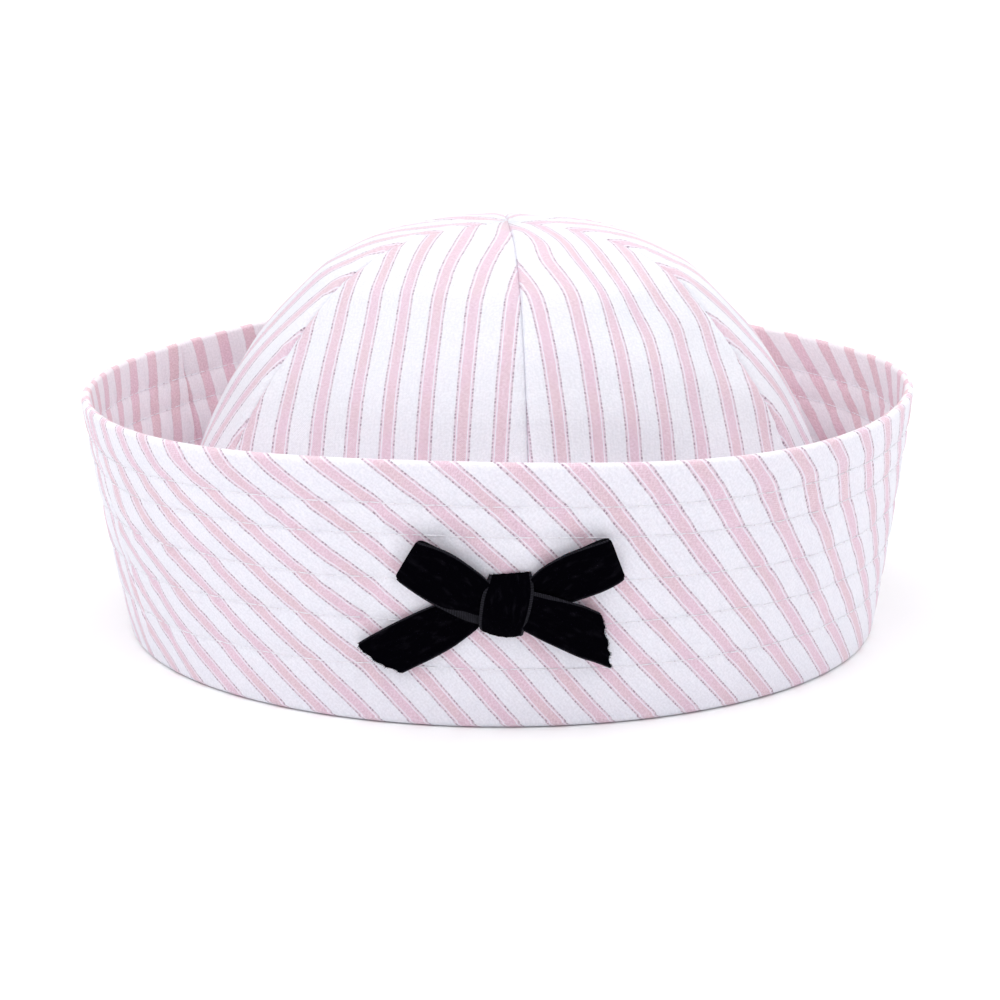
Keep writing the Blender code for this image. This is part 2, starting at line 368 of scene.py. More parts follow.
class Dye(Bench):
    """Builds one material: a Principled shader and what feeds it."""

    def __init__(self, name: str) -> None:
        """Starts a material.

        Args:
            name: Its name.
        """
        self.material = bpy.data.materials.new(name)
        self.material.use_nodes = True
        super().__init__(self.material.node_tree)
        self.shader = self.tree.nodes["Principled BSDF"]

    def noise(
        self, place: object, scale: float, detail: float = 2.0, rough: float = 0.5
    ) -> bpy.types.NodeSocket:
        """The value of a Noise Texture, about 0.5."""
        inputs = {"Vector": place, "Scale": scale, "Detail": detail, "Roughness": rough}
        return self.add("ShaderNodeTexNoise", inputs).outputs[0]

    def mix(
        self, share: object, first: object, second: object, how: str = "MIX"
    ) -> bpy.types.NodeSocket:
        """Mixes one colour into another.

        Args:
            share: How much of the second there is.
            first: The first colour.
            second: The second colour.
            how: The way they are mixed.

        Returns:
            The mixed colour.
        """
        node = self.add("ShaderNodeMix", data_type="RGBA", blend_type=how)
        for number, value in ((0, share), (6, first), (7, second)):
            self.feed(node.inputs[number], value)
        return node.outputs[2]

    def cloth(self) -> tuple[bpy.types.NodeSocket, bpy.types.NodeSocket]:
        """Reads the piece's UV map "cloth".

        Returns:
            The place across and along the cloth, in metres.
        """
        uv = self.add("ShaderNodeUVMap", uv_map="cloth")
        parts = self.add("ShaderNodeSeparateXYZ", {0: uv.outputs[0]})
        return parts.outputs[0], parts.outputs[1]

    def place(self) -> bpy.types.NodeSocket:
        """The object's own coordinates."""
        return self.add("ShaderNodeTexCoord").outputs["Object"]

    def finish(self, colour: object, height: object, depth: float, **surface: object) -> bpy.types.Material:
        """Joins colour and relief to the shader.

        Args:
            colour: The base colour, as a socket.
            height: The relief from 0 to 1, as a socket.
            depth: How deep the relief is, in metres.
            surface: Constants for the shader's own sockets, with _ for a space.

        Returns:
            The material.
        """
        bump = self.add("ShaderNodeBump", {"Height": height, "Distance": depth, "Strength": 1.0})
        self.feed(self.shader.inputs["Base Color"], colour)
        self.feed(self.shader.inputs["Normal"], bump.outputs[0])
        for key, value in surface.items():
            self.feed(self.shader.inputs[key.replace("_", " ")], value)
        return self.material


class Grower(Bench):
    """Builds one Geometry Nodes tree with named inputs and turns its result into a mesh."""

    def __init__(self, name: str, **sizes: float) -> None:
        """Starts a tree.

        Args:
            name: The tree's name.
            sizes: Its named inputs and their first values, with _ for a space.
        """
        super().__init__(bpy.data.node_groups.new(name, "GeometryNodeTree"))
        face = self.tree.interface
        face.new_socket("Geometry", in_out="INPUT", socket_type="NodeSocketGeometry")
        for key, value in sizes.items():
            kind = "NodeSocketInt" if isinstance(value, int) else "NodeSocketFloat"
            face.new_socket(key.replace("_", " "), in_out="INPUT", socket_type=kind).default_value = value
        face.new_socket("Geometry", in_out="OUTPUT", socket_type="NodeSocketGeometry")
        self.given = self.add("NodeGroupInput").outputs
        self.sizes = sizes

    def close(self, geometry: bpy.types.NodeSocket, *finishes: tuple) -> None:
        """Ends the tree in Realize Instances and Set Material.

        Args:
            geometry: What the tree has made.
            finishes: Pairs of a material and the attribute that picks its faces, or None.
        """
        last = self.add("GeometryNodeRealizeInstances", {0: geometry}).outputs[0]
        for material, pick in finishes:
            node = self.add("GeometryNodeSetMaterial", {"Geometry": last, "Material": material})
            if pick:
                mark = self.add("GeometryNodeInputNamedAttribute", {"Name": pick}, data_type="BOOLEAN")
                self.feed(node.inputs["Selection"], mark.outputs[0])
            last = node.outputs[0]
        self.feed(self.add("NodeGroupOutput").inputs[0], last)

    def stops(self) -> bpy.types.NodeSocket:
        """Cuts the source's lines into stretches of the input Pitch.

        Returns:
            The lines.
        """
        line = self.add("GeometryNodeMeshToCurve", {0: self.given["Geometry"]}).outputs[0]
        spans = {"Curve": line, "Length": self.given["Pitch"]}
        return self.add("GeometryNodeResampleCurve", spans, mode="LENGTH").outputs[0]

    def thread(self, start: object, middle: object, end: object, sides: int) -> bpy.types.NodeSocket:
        """Makes a thread as thick as the input Thread Radius, bent once.

        Args:
            start: Where it starts.
            middle: The point that it bends towards.
            end: Where it ends.
            sides: How many points it has along and round.

        Returns:
            The thread's mesh.
        """
        bent = self.add("GeometryNodeCurveQuadraticBezier", {
            "Resolution": sides, "Start": start, "Middle": middle, "End": end,
        }).outputs[0]
        ring = {"Resolution": sides, "Radius": self.given["Thread Radius"]}
        round_ = self.add("GeometryNodeCurvePrimitiveCircle", ring).outputs[0]
        swept = {"Curve": bent, "Profile Curve": round_, "Fill Caps": True}
        return self.add("GeometryNodeCurveToMesh", swept).outputs[0]

    def outward(self) -> bpy.types.NodeSocket:
        """The lines' vector attribute "outward"."""
        read = self.add("GeometryNodeInputNamedAttribute", {"Name": "outward"}, data_type="FLOAT_VECTOR")
        return read.outputs[0]

    def aligned(self, axis: str, pivot: str = "AUTO", **inputs: object) -> bpy.types.NodeSocket:
        """The rotation, from the input Rotation, that turns an axis along the input Vector."""
        settings = {"axis": axis, "pivot_axis": pivot}
        return self.add("FunctionNodeAlignRotationToVector", inputs, **settings).outputs[0]

    def joined(self, *parts: bpy.types.NodeSocket) -> bpy.types.NodeSocket:
        """Makes one geometry of several.

        Args:
            parts: The geometries.

        Returns:
            All of them in one.
        """
        node = self.add("GeometryNodeJoinGeometry")
        for part in parts:
            self.feed(node.inputs[0], part)
        return node.outputs[0]

    def set_down(self, **parts: object) -> bpy.types.NodeSocket:
        """Instances of the piece Instance, one on each of Points, by Rotation and Scale."""
        return self.add("GeometryNodeInstanceOnPoints", parts).outputs[0]

    def grown(self, name: str, source: bpy.types.Mesh, **sizes: float) -> bpy.types.Mesh:
        """Runs the tree on a mesh.

        Args:
            name: The result's name.
            source: The mesh that the tree starts from.
            sizes: Values for its named inputs, with _ for a space.

        Returns:
            The result as a plain mesh.
        """
        holder = linked(name, source)
        modifier = holder.modifiers.new("grow", "NODES")
        modifier.node_group = self.tree
        values = {key.replace("_", " "): value for key, value in (self.sizes | sizes).items()}
        for item in self.tree.interface.items_tree:
            if item.item_type == "SOCKET" and item.in_out == "INPUT" and item.name in values:
                modifier[item.identifier] = values[item.name]
        depsgraph = bpy.context.evaluated_depsgraph_get()
        mesh = bpy.data.meshes.new_from_object(holder.evaluated_get(depsgraph), depsgraph=depsgraph)
        holder.modifiers.clear()
        bpy.data.objects.remove(holder)
        mesh.name = name
        return mesh


def shown(name: str, mesh: bpy.types.Mesh) -> bpy.types.Object:
    """Puts a grown mesh in the scene as an object that is shaded smooth."""
    mesh.polygons.foreach_set("use_smooth", np.ones(len(mesh.polygons), dtype=bool))
    return linked(name, mesh)


# --- Finishes ----------------------------------------------------------------------


@dataclass(frozen=True)
class StripedCotton:
    """White cotton with woven pink stripes, each between two dashed grey lines.

    A stripe's pink core lies in a paler band, and one ground thread parts the two. Sizes
    are half widths and places from the stripe's middle, in mm.
    """

    repeat: float = STRIPE_REPEAT
    pink_half: float = 1.07
    pale_half: float = 1.66
    line_place: float = 1.85
    line_half: float = 0.20
    line_strength: float = 0.9
    dash_repeat: float = 0.98
    thread: float = 0.46
    wander: float = 0.30
    relief: float = 0.10
    ground: tuple = (0.855, 0.845, 0.92, 1.0)
    shaded_ground: tuple = (0.82, 0.81, 0.89, 1.0)
    pink: tuple = (0.716, 0.50, 0.615, 1.0)
    pale_pink: tuple = (0.827, 0.672, 0.778, 1.0)
    palest: tuple = (0.81, 0.65, 0.76, 1.0)
    thread_place: float = 1.31
    thread_half: float = 0.10
    rosy: tuple = (0.975, 0.985, 0.94, 1.0)
    gap: tuple = (0.70, 0.585, 0.67, 1.0)
    dash: tuple = (0.30, 0.20, 0.265, 1.0)
    # Painted light: a rosy tint on the facing that stands for light bounced off and shone through the pink
    # cloth.
    facing_painted_bounce: tuple = (0.99, 0.935, 0.905, 1.0)
    facing_spread: float = 0.80
    facing_fade: float = 0.80

    def material(self) -> bpy.types.Material:
        """Makes the material from the piece's UV map "cloth" and attribute "facing"; the facing gets
        painted rosy bounce light.

        Returns:
            The material.
        """
        dye = Dye("striped_cotton")
        across, along = dye.cloth()
        here = dye.vector(across, along)
        wander = dye.math("SUBTRACT", dye.noise(here, 420.0), 0.5)
        across = dye.math("MULTIPLY_ADD", wander, self.wander * MM, across)
        turns = dye.math("DIVIDE", across, self.repeat * MM)
        offset = dye.math("MULTIPLY", dye.math("PINGPONG", turns, 0.5), self.repeat)
        warp = dye.math("SINE", dye.math("MULTIPLY", across, math.tau / (self.thread * MM)))
        weft = dye.math("SINE", dye.math("MULTIPLY", along, math.tau / (1.15 * self.thread * MM)))
        weave = dye.math("MULTIPLY_ADD", dye.math("MULTIPLY", warp, weft), 0.5, 0.5)
        slub = dye.noise(dye.vector(dye.math("MULTIPLY", across, 7.0), along), 300.0, 3.0)
        tooth = dye.noise(here, 1700.0, 2.0, 0.6)
        cloudy = dye.noise(dye.place(), 28.0, 2.0)

        white = dye.mix(dye.step(slub, 0.35, 0.65), self.shaded_ground, self.ground)
        picks = dye.noise(dye.vector(dye.math("MULTIPLY", across, 0.5), along), 3000.0, 1.0)
        tufts = dye.math("MULTIPLY_ADD", dye.math("SUBTRACT", tooth, 0.5), 0.8, weave)
        tufts = dye.math("MULTIPLY_ADD", dye.math("SUBTRACT", picks, 0.5), 1.6, tufts)
        rose = dye.mix(dye.step(tufts, 0.0, 1.0), self.pink, self.pale_pink)
        rose = dye.mix(dye.step(dye.noise(here, 55.0), 0.4, 0.6), rose, self.rosy, "MULTIPLY")
        colour = dye.mix(dye.within(offset, self.pale_half, 0.1), white, self.palest)
        beside = dye.math("ABSOLUTE", dye.math("SUBTRACT", offset, self.thread_place))
        colour = dye.mix(dye.within(beside, self.thread_half, 0.04), colour, self.ground)
        facing = dye.add("ShaderNodeAttribute", attribute_name="facing").outputs["Fac"]
        inward = dye.math("MULTIPLY_ADD", facing, -self.facing_spread, offset)
        colour = dye.mix(dye.within(inward, self.pink_half, 0.12), colour, rose)

        pace = dye.math("MULTIPLY", along, math.tau / (self.dash_repeat * MM))
        beat = dye.math("MULTIPLY_ADD", dye.noise(here, 330.0), 8.0, pace)
        side = dye.math("FLOOR", dye.math("MULTIPLY", turns, 2.0))
        beat = dye.math("MULTIPLY_ADD", side, 2.3, beat)
        patchy = dye.step(dye.noise(dye.vector(side, along), 520.0, 1.0), 0.38, 0.62, 0.15, 1.0)
        dashed = dye.math("MULTIPLY", dye.step(dye.math("SINE", beat), -0.7, 0.1), patchy)
        dash = dye.mix(dashed, self.gap, self.dash)
        apart = dye.math("ABSOLUTE", dye.math("SUBTRACT", offset, self.line_place))
        line = dye.within(apart, self.line_half, 0.08, self.line_strength)
        line = dye.math("MULTIPLY", line, dye.math("MULTIPLY_ADD", facing, -self.facing_fade, 1.0))
        colour = dye.mix(line, colour, dash)

        clouds, grain = dye.step(cloudy, 0.3, 0.7, 0.975, 1.0), dye.step(tooth, 0.3, 0.7, 0.93, 1.03)
        tone = dye.math("MULTIPLY", clouds, grain)
        colour = dye.mix(1.0, colour, dye.vector(tone, tone, tone), "MULTIPLY")
        # Painted light: the facing is tinted rosy for light bounced off and shone through the pink cloth.
        colour = dye.mix(facing, colour, self.facing_painted_bounce, "MULTIPLY")
        height = dye.math("MULTIPLY_ADD", tooth, 0.5, dye.math("MULTIPLY", weave, 0.5))
        height = dye.math("MULTIPLY_ADD", slub, 0.9, height)
        return dye.finish(
            colour, height, self.relief * MM, Roughness=0.88, Sheen_Weight=0.10,
            Sheen_Roughness=0.5, Specular_IOR_Level=0.25, Subsurface_Weight=0.35,
            Subsurface_Radius=(1.0, 0.8, 0.8), Subsurface_Scale=3.0 * MM,
        )


@dataclass(frozen=True)
class Velvet:
    """Black pile that drinks the light, with painted sheen: paler streaks along the ribbon where the pile
    lies differently.
    """

    pile: tuple = (0.0008, 0.0006, 0.0016, 1.0)
    painted_sheen: tuple = (0.0045, 0.004, 0.006, 1.0)
    relief: float = 0.25

    def material(self) -> bpy.types.Material:
        """Makes the material from the piece's UV map "cloth" and own coordinates.

        Returns:
            The material.
        """
        dye = Dye("velvet")
        across, along = dye.cloth()
        streak = dye.noise(dye.vector(dye.math("MULTIPLY", across, 3.0), along), 260.0, 3.0)
        grain = dye.noise(dye.place(), 2600.0, 2.0)
        # Painted sheen: paler streaks where the pile lies differently, in place of light caught by the nap.
        colour = dye.mix(dye.step(streak, 0.52, 0.75), self.pile, self.painted_sheen)
        height = dye.math("MULTIPLY_ADD", streak, 0.7, grain)
        return dye.finish(
            colour, height, self.relief * MM, Roughness=1.0, Sheen_Weight=0.004,
            Sheen_Roughness=0.3, Specular_IOR_Level=0.01,
        )


@dataclass(frozen=True)
class Selvedge:
    """The ribbon's woven edge: flat dark grey satin with fine ribs."""

    rib: float = 0.55
    low: tuple = (0.003, 0.003, 0.005, 1.0)
    high: tuple = (0.0125, 0.0115, 0.018, 1.0)
    relief: float = 0.12

    def material(self) -> bpy.types.Material:
        """Makes the material from the piece's UV map "cloth".

        Returns:
            The material.
        """
        dye = Dye("ribbon_selvedge")
        across, along = dye.cloth()
        rib = dye.math("SINE", dye.math("MULTIPLY", along, math.tau / (self.rib * MM)))
        fleck = dye.noise(dye.vector(across, along), 900.0, 2.0)
        height = dye.math("MULTIPLY_ADD", rib, 0.25, fleck)
        colour = dye.mix(dye.step(height, 0.2, 0.8), self.low, self.high)
        return dye.finish(colour, height, self.relief * MM, Roughness=0.7, Specular_IOR_Level=0.12)


@dataclass(frozen=True)
class CottonThread:
    """White sewing cotton, twisted."""

    light: tuple = (0.88, 0.865, 0.925, 1.0)
    shade: tuple = (0.80, 0.785, 0.85, 1.0)
    relief: float = 0.12

    def material(self) -> bpy.types.Material:
        """Makes the material from the piece's own coordinates.

        Returns:
            The material.
        """
        dye = Dye("cotton_thread")
        twist = dye.noise(dye.place(), 2100.0, 2.0)
        colour = dye.mix(dye.step(twist, 0.35, 0.65), self.shade, self.light)
        return dye.finish(colour, twist, self.relief * MM, Roughness=0.7, Sheen_Weight=0.1)


@dataclass(frozen=True)
class NeedleHoleShade:
    """Painted shade of the needle hole where a stitch goes through the cloth, mottled between a deep and a
    paler tone.
    """

    rim: tuple = (0.80, 0.76, 0.83, 1.0)
    painted_shade: tuple = (0.62, 0.56, 0.63, 1.0)
    relief: float = 0.05

    def material(self) -> bpy.types.Material:
        """Makes the material from the piece's own coordinates.

        Returns:
            The material.
        """
        dye = Dye("needle_hole_painted_shade")
        shade = dye.noise(dye.place(), 900.0, 1.0)
        # Painted shade: the hole's dark tone, mottled towards the paler rim colour.
        colour = dye.mix(dye.step(shade, 0.35, 0.6), self.painted_shade, self.rim)
        return dye.finish(colour, shade, self.relief * MM, Roughness=0.9)


@dataclass(frozen=True)
class PaleFloor:
    """Plain matt white paper under the cap."""

    light: tuple = (0.95, 0.95, 0.955, 1.0)
    shade: tuple = (0.93, 0.93, 0.935, 1.0)
    relief: float = 0.02

    def material(self) -> bpy.types.Material:
        """Makes the material from the floor's own coordinates.

        Returns:
            The material.
        """
        dye = Dye("pale_floor")
        grain = dye.noise(dye.place(), 60.0, 3.0)
        colour = dye.mix(grain, self.shade, self.light)
        return dye.finish(colour, grain, self.relief * MM, Roughness=0.9)


@dataclass
class Wardrobe:
    """The finishes, each made once."""

    cotton: bpy.types.Material = field(default_factory=lambda: StripedCotton().material())
    velvet: bpy.types.Material = field(default_factory=lambda: Velvet().material())
    selvedge: bpy.types.Material = field(default_factory=lambda: Selvedge().material())
    thread: bpy.types.Material = field(default_factory=lambda: CottonThread().material())
    hole: bpy.types.Material = field(default_factory=lambda: NeedleHoleShade().material())
    floor: bpy.types.Material = field(default_factory=lambda: PaleFloor().material())


# --- The cap's form ----------------------------------------------------------------


@dataclass(frozen=True)
class CapForm:
    """The shape that brim, crown and bow share, in mm.

    The rim's waves are rows of how many go round the cap, cosine height and sine height.
    """

    head_radius: float = 90.7
    base_radius: float = 97.4
    rim_radius: float = 107.9
    rim_height: float = 64.0
    rim_waves: tuple = ((1, 1.14, 0.66), (2, 1.70, -0.16), (3, -0.50, -0.61), (4, 0.85, -0.08))
    wall: float = 2.4
    fold_radius: float = 1.9
    crease_radius: float = 1.0
    base_shift: float = 1.3

    def top(self, azimuth: np.ndarray) -> np.ndarray:
        """How high the rim stands.

        Args:
            azimuth: In radians.

        Returns:
            The rim's height there.
        """
        height = np.full(np.shape(azimuth), self.rim_height)
        for count, cosine, sine in self.rim_waves:
            height = height + cosine * np.cos(count * azimuth) + sine * np.sin(count * azimuth)
        return height

    def slope(self, azimuth: np.ndarray) -> np.ndarray:
        """How far the wall leans out from upright, in radians."""
        return np.arctan2(self.rim_radius - self.base_radius, self.top(azimuth))

    def place(self, azimuth: np.ndarray, radius: np.ndarray, height: np.ndarray) -> np.ndarray:
        """Finds a place on the brim, whose base is shifted a little to one side.

        Args:
            azimuth: In radians.
            radius: Its distance from the brim's axis.
            height: Its height above the base.

        Returns:
            The point.
        """
        share = np.clip(height / self.top(azimuth), None, 1.0)
        shift = self.base_shift * (1.0 - share)
        x = shift + radius * np.sin(azimuth)
        y = -radius * np.cos(azimuth)
        return np.stack(np.broadcast_arrays(x, y, height), -1)

    def wall_point(self, azimuth: np.ndarray, height: np.ndarray, proud: np.ndarray) -> np.ndarray:
        """Finds a place on or beside the brim's wall.

        Args:
            azimuth: In radians.
            height: The height of the nearest point of the outer face.
            proud: How far it is off that face, outwards.

        Returns:
            The point.
        """
        slope = self.slope(azimuth)
        radius = self.base_radius + height * np.tan(slope) + proud * np.cos(slope)
        return self.place(azimuth, radius, height - proud * np.sin(slope))

    def outward(self, azimuth: np.ndarray) -> np.ndarray:
        """Finds the direction that the wall's outer face looks in.

        Args:
            azimuth: In radians.

        Returns:
            The direction, one long.
        """
        slope = self.slope(azimuth)
        across = np.cos(slope)
        return np.stack([across * np.sin(azimuth), -across * np.cos(azimuth), -np.sin(slope)], -1)


# --- Brim --------------------------------------------------------------------------


class BrimFace(Enum):
    """The two faces of the turned-up brim."""

    OUTER = "outer"
    INNER = "inner"


@dataclass(frozen=True)
class BiasLay:
    """Stripes of a bias band cut on an arc: they turn slowly steeper round the cap.

    The tucks, where the sewing draws the stripes aside, are rows of repeats, azimuth and
    its spread in radians, and share of the height and its spread. The rim's pull rises
    with the height by rows of how much, from and to. The foot's pull starts over a span
    of azimuths and ends over a span of heights.
    """

    turned: float = 0.0
    pitch: float = 6.563
    reach: float = 354.4
    turn: float = 0.184
    lay: float = -31.0
    start: float = 24.506
    belly: float = 0.110
    skew: float = 0.354
    drag: float = 0.100
    foot_drag: float = -0.633
    straight: float = 0.9
    eased_over: float = 0.45
    tucks: tuple = (
        (-0.22, -0.17, 0.32, 0.26, 0.32), (0.14, 0.36, 0.22, 0.55, 0.35),
        (-0.28, -0.78, 0.19, 1.00, 0.05), (-0.17, 0.87, 0.30, 0.89, 0.08),
        (0.09, 0.05, 0.32, 0.04, 0.15),
    )
    rim_pull: float = 3.90
    rim_pull_from: float = 0.822
    rim_pull_rise: tuple = ((0.6, 0.58, 0.86), (0.4, 0.86, 1.02))
    foot_pull: float = 0.27
    foot_pull_start: tuple = (0.87, 1.02)
    foot_pull_end: tuple = (0.42, 0.56)

    def across(self, azimuth: np.ndarray, share: np.ndarray) -> np.ndarray:
        """Which stripe a place is on.

        Args:
            azimuth: In radians.
            share: Height, from 0 at the base to 1 at the rim.

        Returns:
            The count of repeats; whole numbers are stripe centres.
        """
        a = azimuth - math.radians(self.turned)
        ease = self.eased_over
        over = np.maximum(np.abs(a) - self.straight, 0.0)
        eased = np.sign(a) * (np.minimum(np.abs(a), self.straight) + ease * np.tanh(over / ease))
        angle = self.turn * a + math.radians(self.lay)
        count = self.start + (self.reach - BRIM_SLOPE_HEIGHT * share) * np.sin(angle) / self.pitch
        middle = 4.0 * share * (1.0 - share)
        count = count + middle * (self.belly + self.skew * eased)
        for much, at, width, height, tall in self.tucks:
            count = count + much * bell(a - at, width) * bell(share - height, tall)
        pulled = sum(much * ramp(share, low, high) for much, low, high in self.rim_pull_rise)
        count = count - self.rim_pull * np.maximum(-a - self.rim_pull_from, 0.0) * pulled
        low = (1.0 - ramp(share, *self.foot_pull_end)) * (1.6 - 0.6 * ramp(share, 0.05, 0.22))
        count = count - self.foot_pull * ramp(-a, *self.foot_pull_start) * low
        return count + eased**3 * (self.drag + self.foot_drag * (1.0 - share))


@dataclass(frozen=True)
class UprightLay:
    """Stripes that stand nearly upright: the brim's facing."""

    stripe_at: float
    spacing: float
    lean: float

    def across(self, azimuth: np.ndarray, share: np.ndarray) -> np.ndarray:
        """Which stripe a place is on, as BiasLay gives it."""
        return (np.degrees(azimuth) - self.stripe_at) / self.spacing + self.lean * (1.0 - share)


@dataclass
class Brim:
    """The turned-up brim: two layers stitched together in rows round the cap.

    Seams are azimuths in degrees, and each lay of the facing starts at the seam beside
    it in its table. Stitch rows and feet are shares of the brim's height. The fine and
    coarse steps between its rows of faces are in mm.
    """

    form: CapForm
    wardrobe: Wardrobe
    seam: float = -63.5
    far_seam: float = 117.0
    seam_slant: float = -10.5
    seam_depth: float = 0.42
    seam_width: float = 0.40
    seam_lip: float = 0.16
    facing_seams: tuple = (54.0, 176.0, 236.3)
    facing_lays: tuple = (
        UprightLay(136.6, 7.15, 6.15), UprightLay(232.5, 5.25, 0.76), UprightLay(255.3, 5.75, -1.39),
    )
    facing_from: float = 84.0
    columns: int = 600
    fine_outer: tuple = (-2.6, -1.5, -0.75, 0.0, 0.75, 1.5, 2.6)
    fine_inner: tuple = (-1.9, -0.8, 0.0, 0.8, 1.9)
    coarse_outer: float = 2.6
    coarse_inner: float = 3.6
    fold_share: float = 0.03
    outer_foot: float = 0.026
    inner_foot: float = 0.045
    rim_share: float = 0.981
    stitch_rows: tuple = (0.22, 0.395, 0.56, 0.73, 0.845)
    stitch_pitch: float = 3.2
    stitch_length: float = 2.85
    stitch_rise: float = 0.30
    thread_radius: float = 0.145
    inner_stitch_rise: float = 0.14
    inner_thread_radius: float = 0.11
    # The needle holes' painted shade is drawn as small dark cones this wide and deep.
    hole_radius: float = 0.15
    hole_depth: float = 0.16
    groove: float = 0.17
    padding: float = 0.24
    pucker: float = 0.15
    puckers: tuple = (62, 150)
    slack: float = 0.42
    repeat: float = STRIPE_REPEAT
    slope_height: float = BRIM_SLOPE_HEIGHT
    mean_radius: float = 103.0

    def azimuths(self) -> np.ndarray:
        """Spaces the brim's columns, with closer ones at the seams.

        Returns:
            Their azimuths in radians, rising.
        """
        evenly = np.linspace(self.seam, self.seam + FULL_TURN, self.columns, endpoint=False)
        close = [self.seam, self.far_seam, *self.facing_seams]
        extra = [s + d for s in close for d in (-0.5, -0.22, -0.08, 0.0, 0.08, 0.22, 0.5)]
        apart = [a for a in evenly if min(abs(a - e) for e in extra) > 0.14]
        low = self.seam - 1e-6
        turned = [(e - low) % FULL_TURN + low for e in extra]
        return np.radians(np.unique(np.round(np.array(apart + turned), 4)))

    def shares(self, low: float, high: float, face: BrimFace) -> np.ndarray:
        """The heights of the rows up one face, with closer ones at the stitching.

        Args:
            low: The lowest row's share of the brim's height.
            high: The highest row's share.
            face: Which face; the inner one has fewer rows.

        Returns:
            The shares, rising.
        """
        outer = face is BrimFace.OUTER
        fine = self.fine_outer if outer else self.fine_inner
        near = [row + d / self.slope_height for row in self.stitch_rows for d in fine]
        step = (self.coarse_outer if outer else self.coarse_inner) / self.slope_height
        clear = 0.8 / self.slope_height
        wide = [s for s in np.arange(low, high, step) if min(abs(s - n) for n in near) > clear]
        return np.unique(np.clip(np.array([low, *near, *wide, high]), low, high))

    def turned(self, azimuth: np.ndarray, share: np.ndarray) -> np.ndarray:
        """Where a column stands at a height: the outer seams slant back towards the rim.

        Args:
            azimuth: The column's azimuth at the base, in radians.
            share: The share of the brim's height.

        Returns:
            Its azimuth at that height.
        """
        azimuth, share = np.broadcast_arrays(azimuth, np.clip(share, 0.0, 1.0))
        total = azimuth.astype(float)
        for seam in (self.seam, self.far_seam):
            slant = math.radians(self.seam_slant) * share
            total = total + slant * bell(degrees_past(azimuth, seam), 25.0)
        return total

    def drift(self, azimuth: np.ndarray, share: np.ndarray) -> np.ndarray:
        """How far the rows wander up and down, as a share of the brim's height."""
        wave = 0.006 * np.sin(2.0 * azimuth + 6.0 * share) + 0.0035 * np.sin(5.0 * azimuth + 11.0 * share)
        return wave * np.clip(6.0 * share * (1.0 - share), 0.0, 1.0)

    def relief(self, azimuth: np.ndarray, share: np.ndarray, face: BrimFace) -> np.ndarray:
        """How far the cloth stands proud of the plain wall.

        Args:
            azimuth: In radians.
            share: The row's share of the brim's height before it wanders.
            face: Which face of the brim.

        Returns:
            The height off the wall in mm.
        """
        azimuth, share = np.broadcast_arrays(azimuth, share)
        seed = 10 if face is BrimFace.OUTER else 40
        nearest = np.full(share.shape, 99.0)
        total = np.zeros(share.shape)
        for number, row in enumerate(self.stitch_rows):
            off = (share - row) * self.slope_height
            nearest = np.minimum(nearest, np.abs(off))
            above = Gathers(seed + number, *self.puckers).at(azimuth)
            below = Gathers(seed + number + 20, *self.puckers).at(azimuth)
            upper, lower = bell(off - 2.0, 2.6), bell(off + 2.0, 2.6)
            total += self.pucker * above * upper + self.pucker * below * lower
            total -= self.groove * bell(off, 0.85) * (1.0 + 0.25 * above)
        total += self.padding * (0.45 - bell(nearest, 2.8))
        slack = Gathers(seed + 9, 3, 17).at(azimuth) + Gathers(seed + 8, 20, 44).at(azimuth) * 0.45
        total += self.slack * slack * np.sin(math.pi * np.clip(share, 0.0, 1.0))
        for seam in (self.seam, self.far_seam) if face is BrimFace.OUTER else self.facing_seams:
            off = np.radians(degrees_past(azimuth, seam)) * self.mean_radius
            lip = self.seam_lip * bell(np.abs(off) - 2.2, 1.8)
            total += lip - self.seam_depth * bell(off, self.seam_width)
        ends = np.minimum((share - self.fold_share) / 0.06, (self.rim_share - share) / 0.05)
        return total * np.clip(ends, 0.0, 1.0)

    def section(self, azimuth: np.ndarray) -> tuple[np.ndarray, np.ndarray, np.ndarray, np.ndarray]:
        """The brim's closed section at each azimuth.

        Args:
            azimuth: The columns, in radians.

        Returns:
            Points (column, place, 3), each place's azimuth and share of the height for
            the stripes, and for each place whether it belongs to the inner facing.
        """
        form = self.form
        az = azimuth[:, None]
        points, turns, runs, facing = [], [], [], []

        def put(place: Callable, share: np.ndarray, inner: bool) -> None:
            """Adds places to the section.

            Args:
                place: The rule that gives them for the columns' azimuths.
                share: Their share of the height.
                inner: Whether they belong to the inner facing.
            """
            here = self.turned(az, share)
            spot = place(here)
            points.append(spot)
            turns.append(np.broadcast_to(here, spot.shape[:2]))
            runs.append(np.broadcast_to(share, spot.shape[:2]))
            facing.extend([inner] * spot.shape[1])

        def rolling(here: np.ndarray, reach: float, radius: float, degrees: np.ndarray) -> np.ndarray:
            """Finds places on an arc that rolls on the wall at its foot.

            Args:
                here: The columns' azimuths.
                reach: The height of the arc's centre, and its distance from the outer face.
                radius: The arc's radius.
                degrees: Where on the arc the places are, from outwards up.

            Returns:
                The places.
            """
            slope = form.slope(here)
            centre = form.base_radius + reach * np.tan(slope) - reach / np.cos(slope)
            angle = np.radians(degrees)[None]
            return form.place(here, centre + radius * np.cos(angle), reach + radius * np.sin(angle))

        def rim(here: np.ndarray, angle: float) -> np.ndarray:
            """Finds a place on the rolled rim.

            Args:
                here: The columns' azimuths.
                angle: Where on the roll it is, in radians from outwards up.

            Returns:
                The place, one for each column.
            """
            core = form.wall_point(here, form.top(here) - half, -half)
            out = math.cos(angle)
            up = math.sin(angle) + 0.0 * here
            return core + np.stack([np.sin(here) * out, -np.cos(here) * out, up], -1) * half

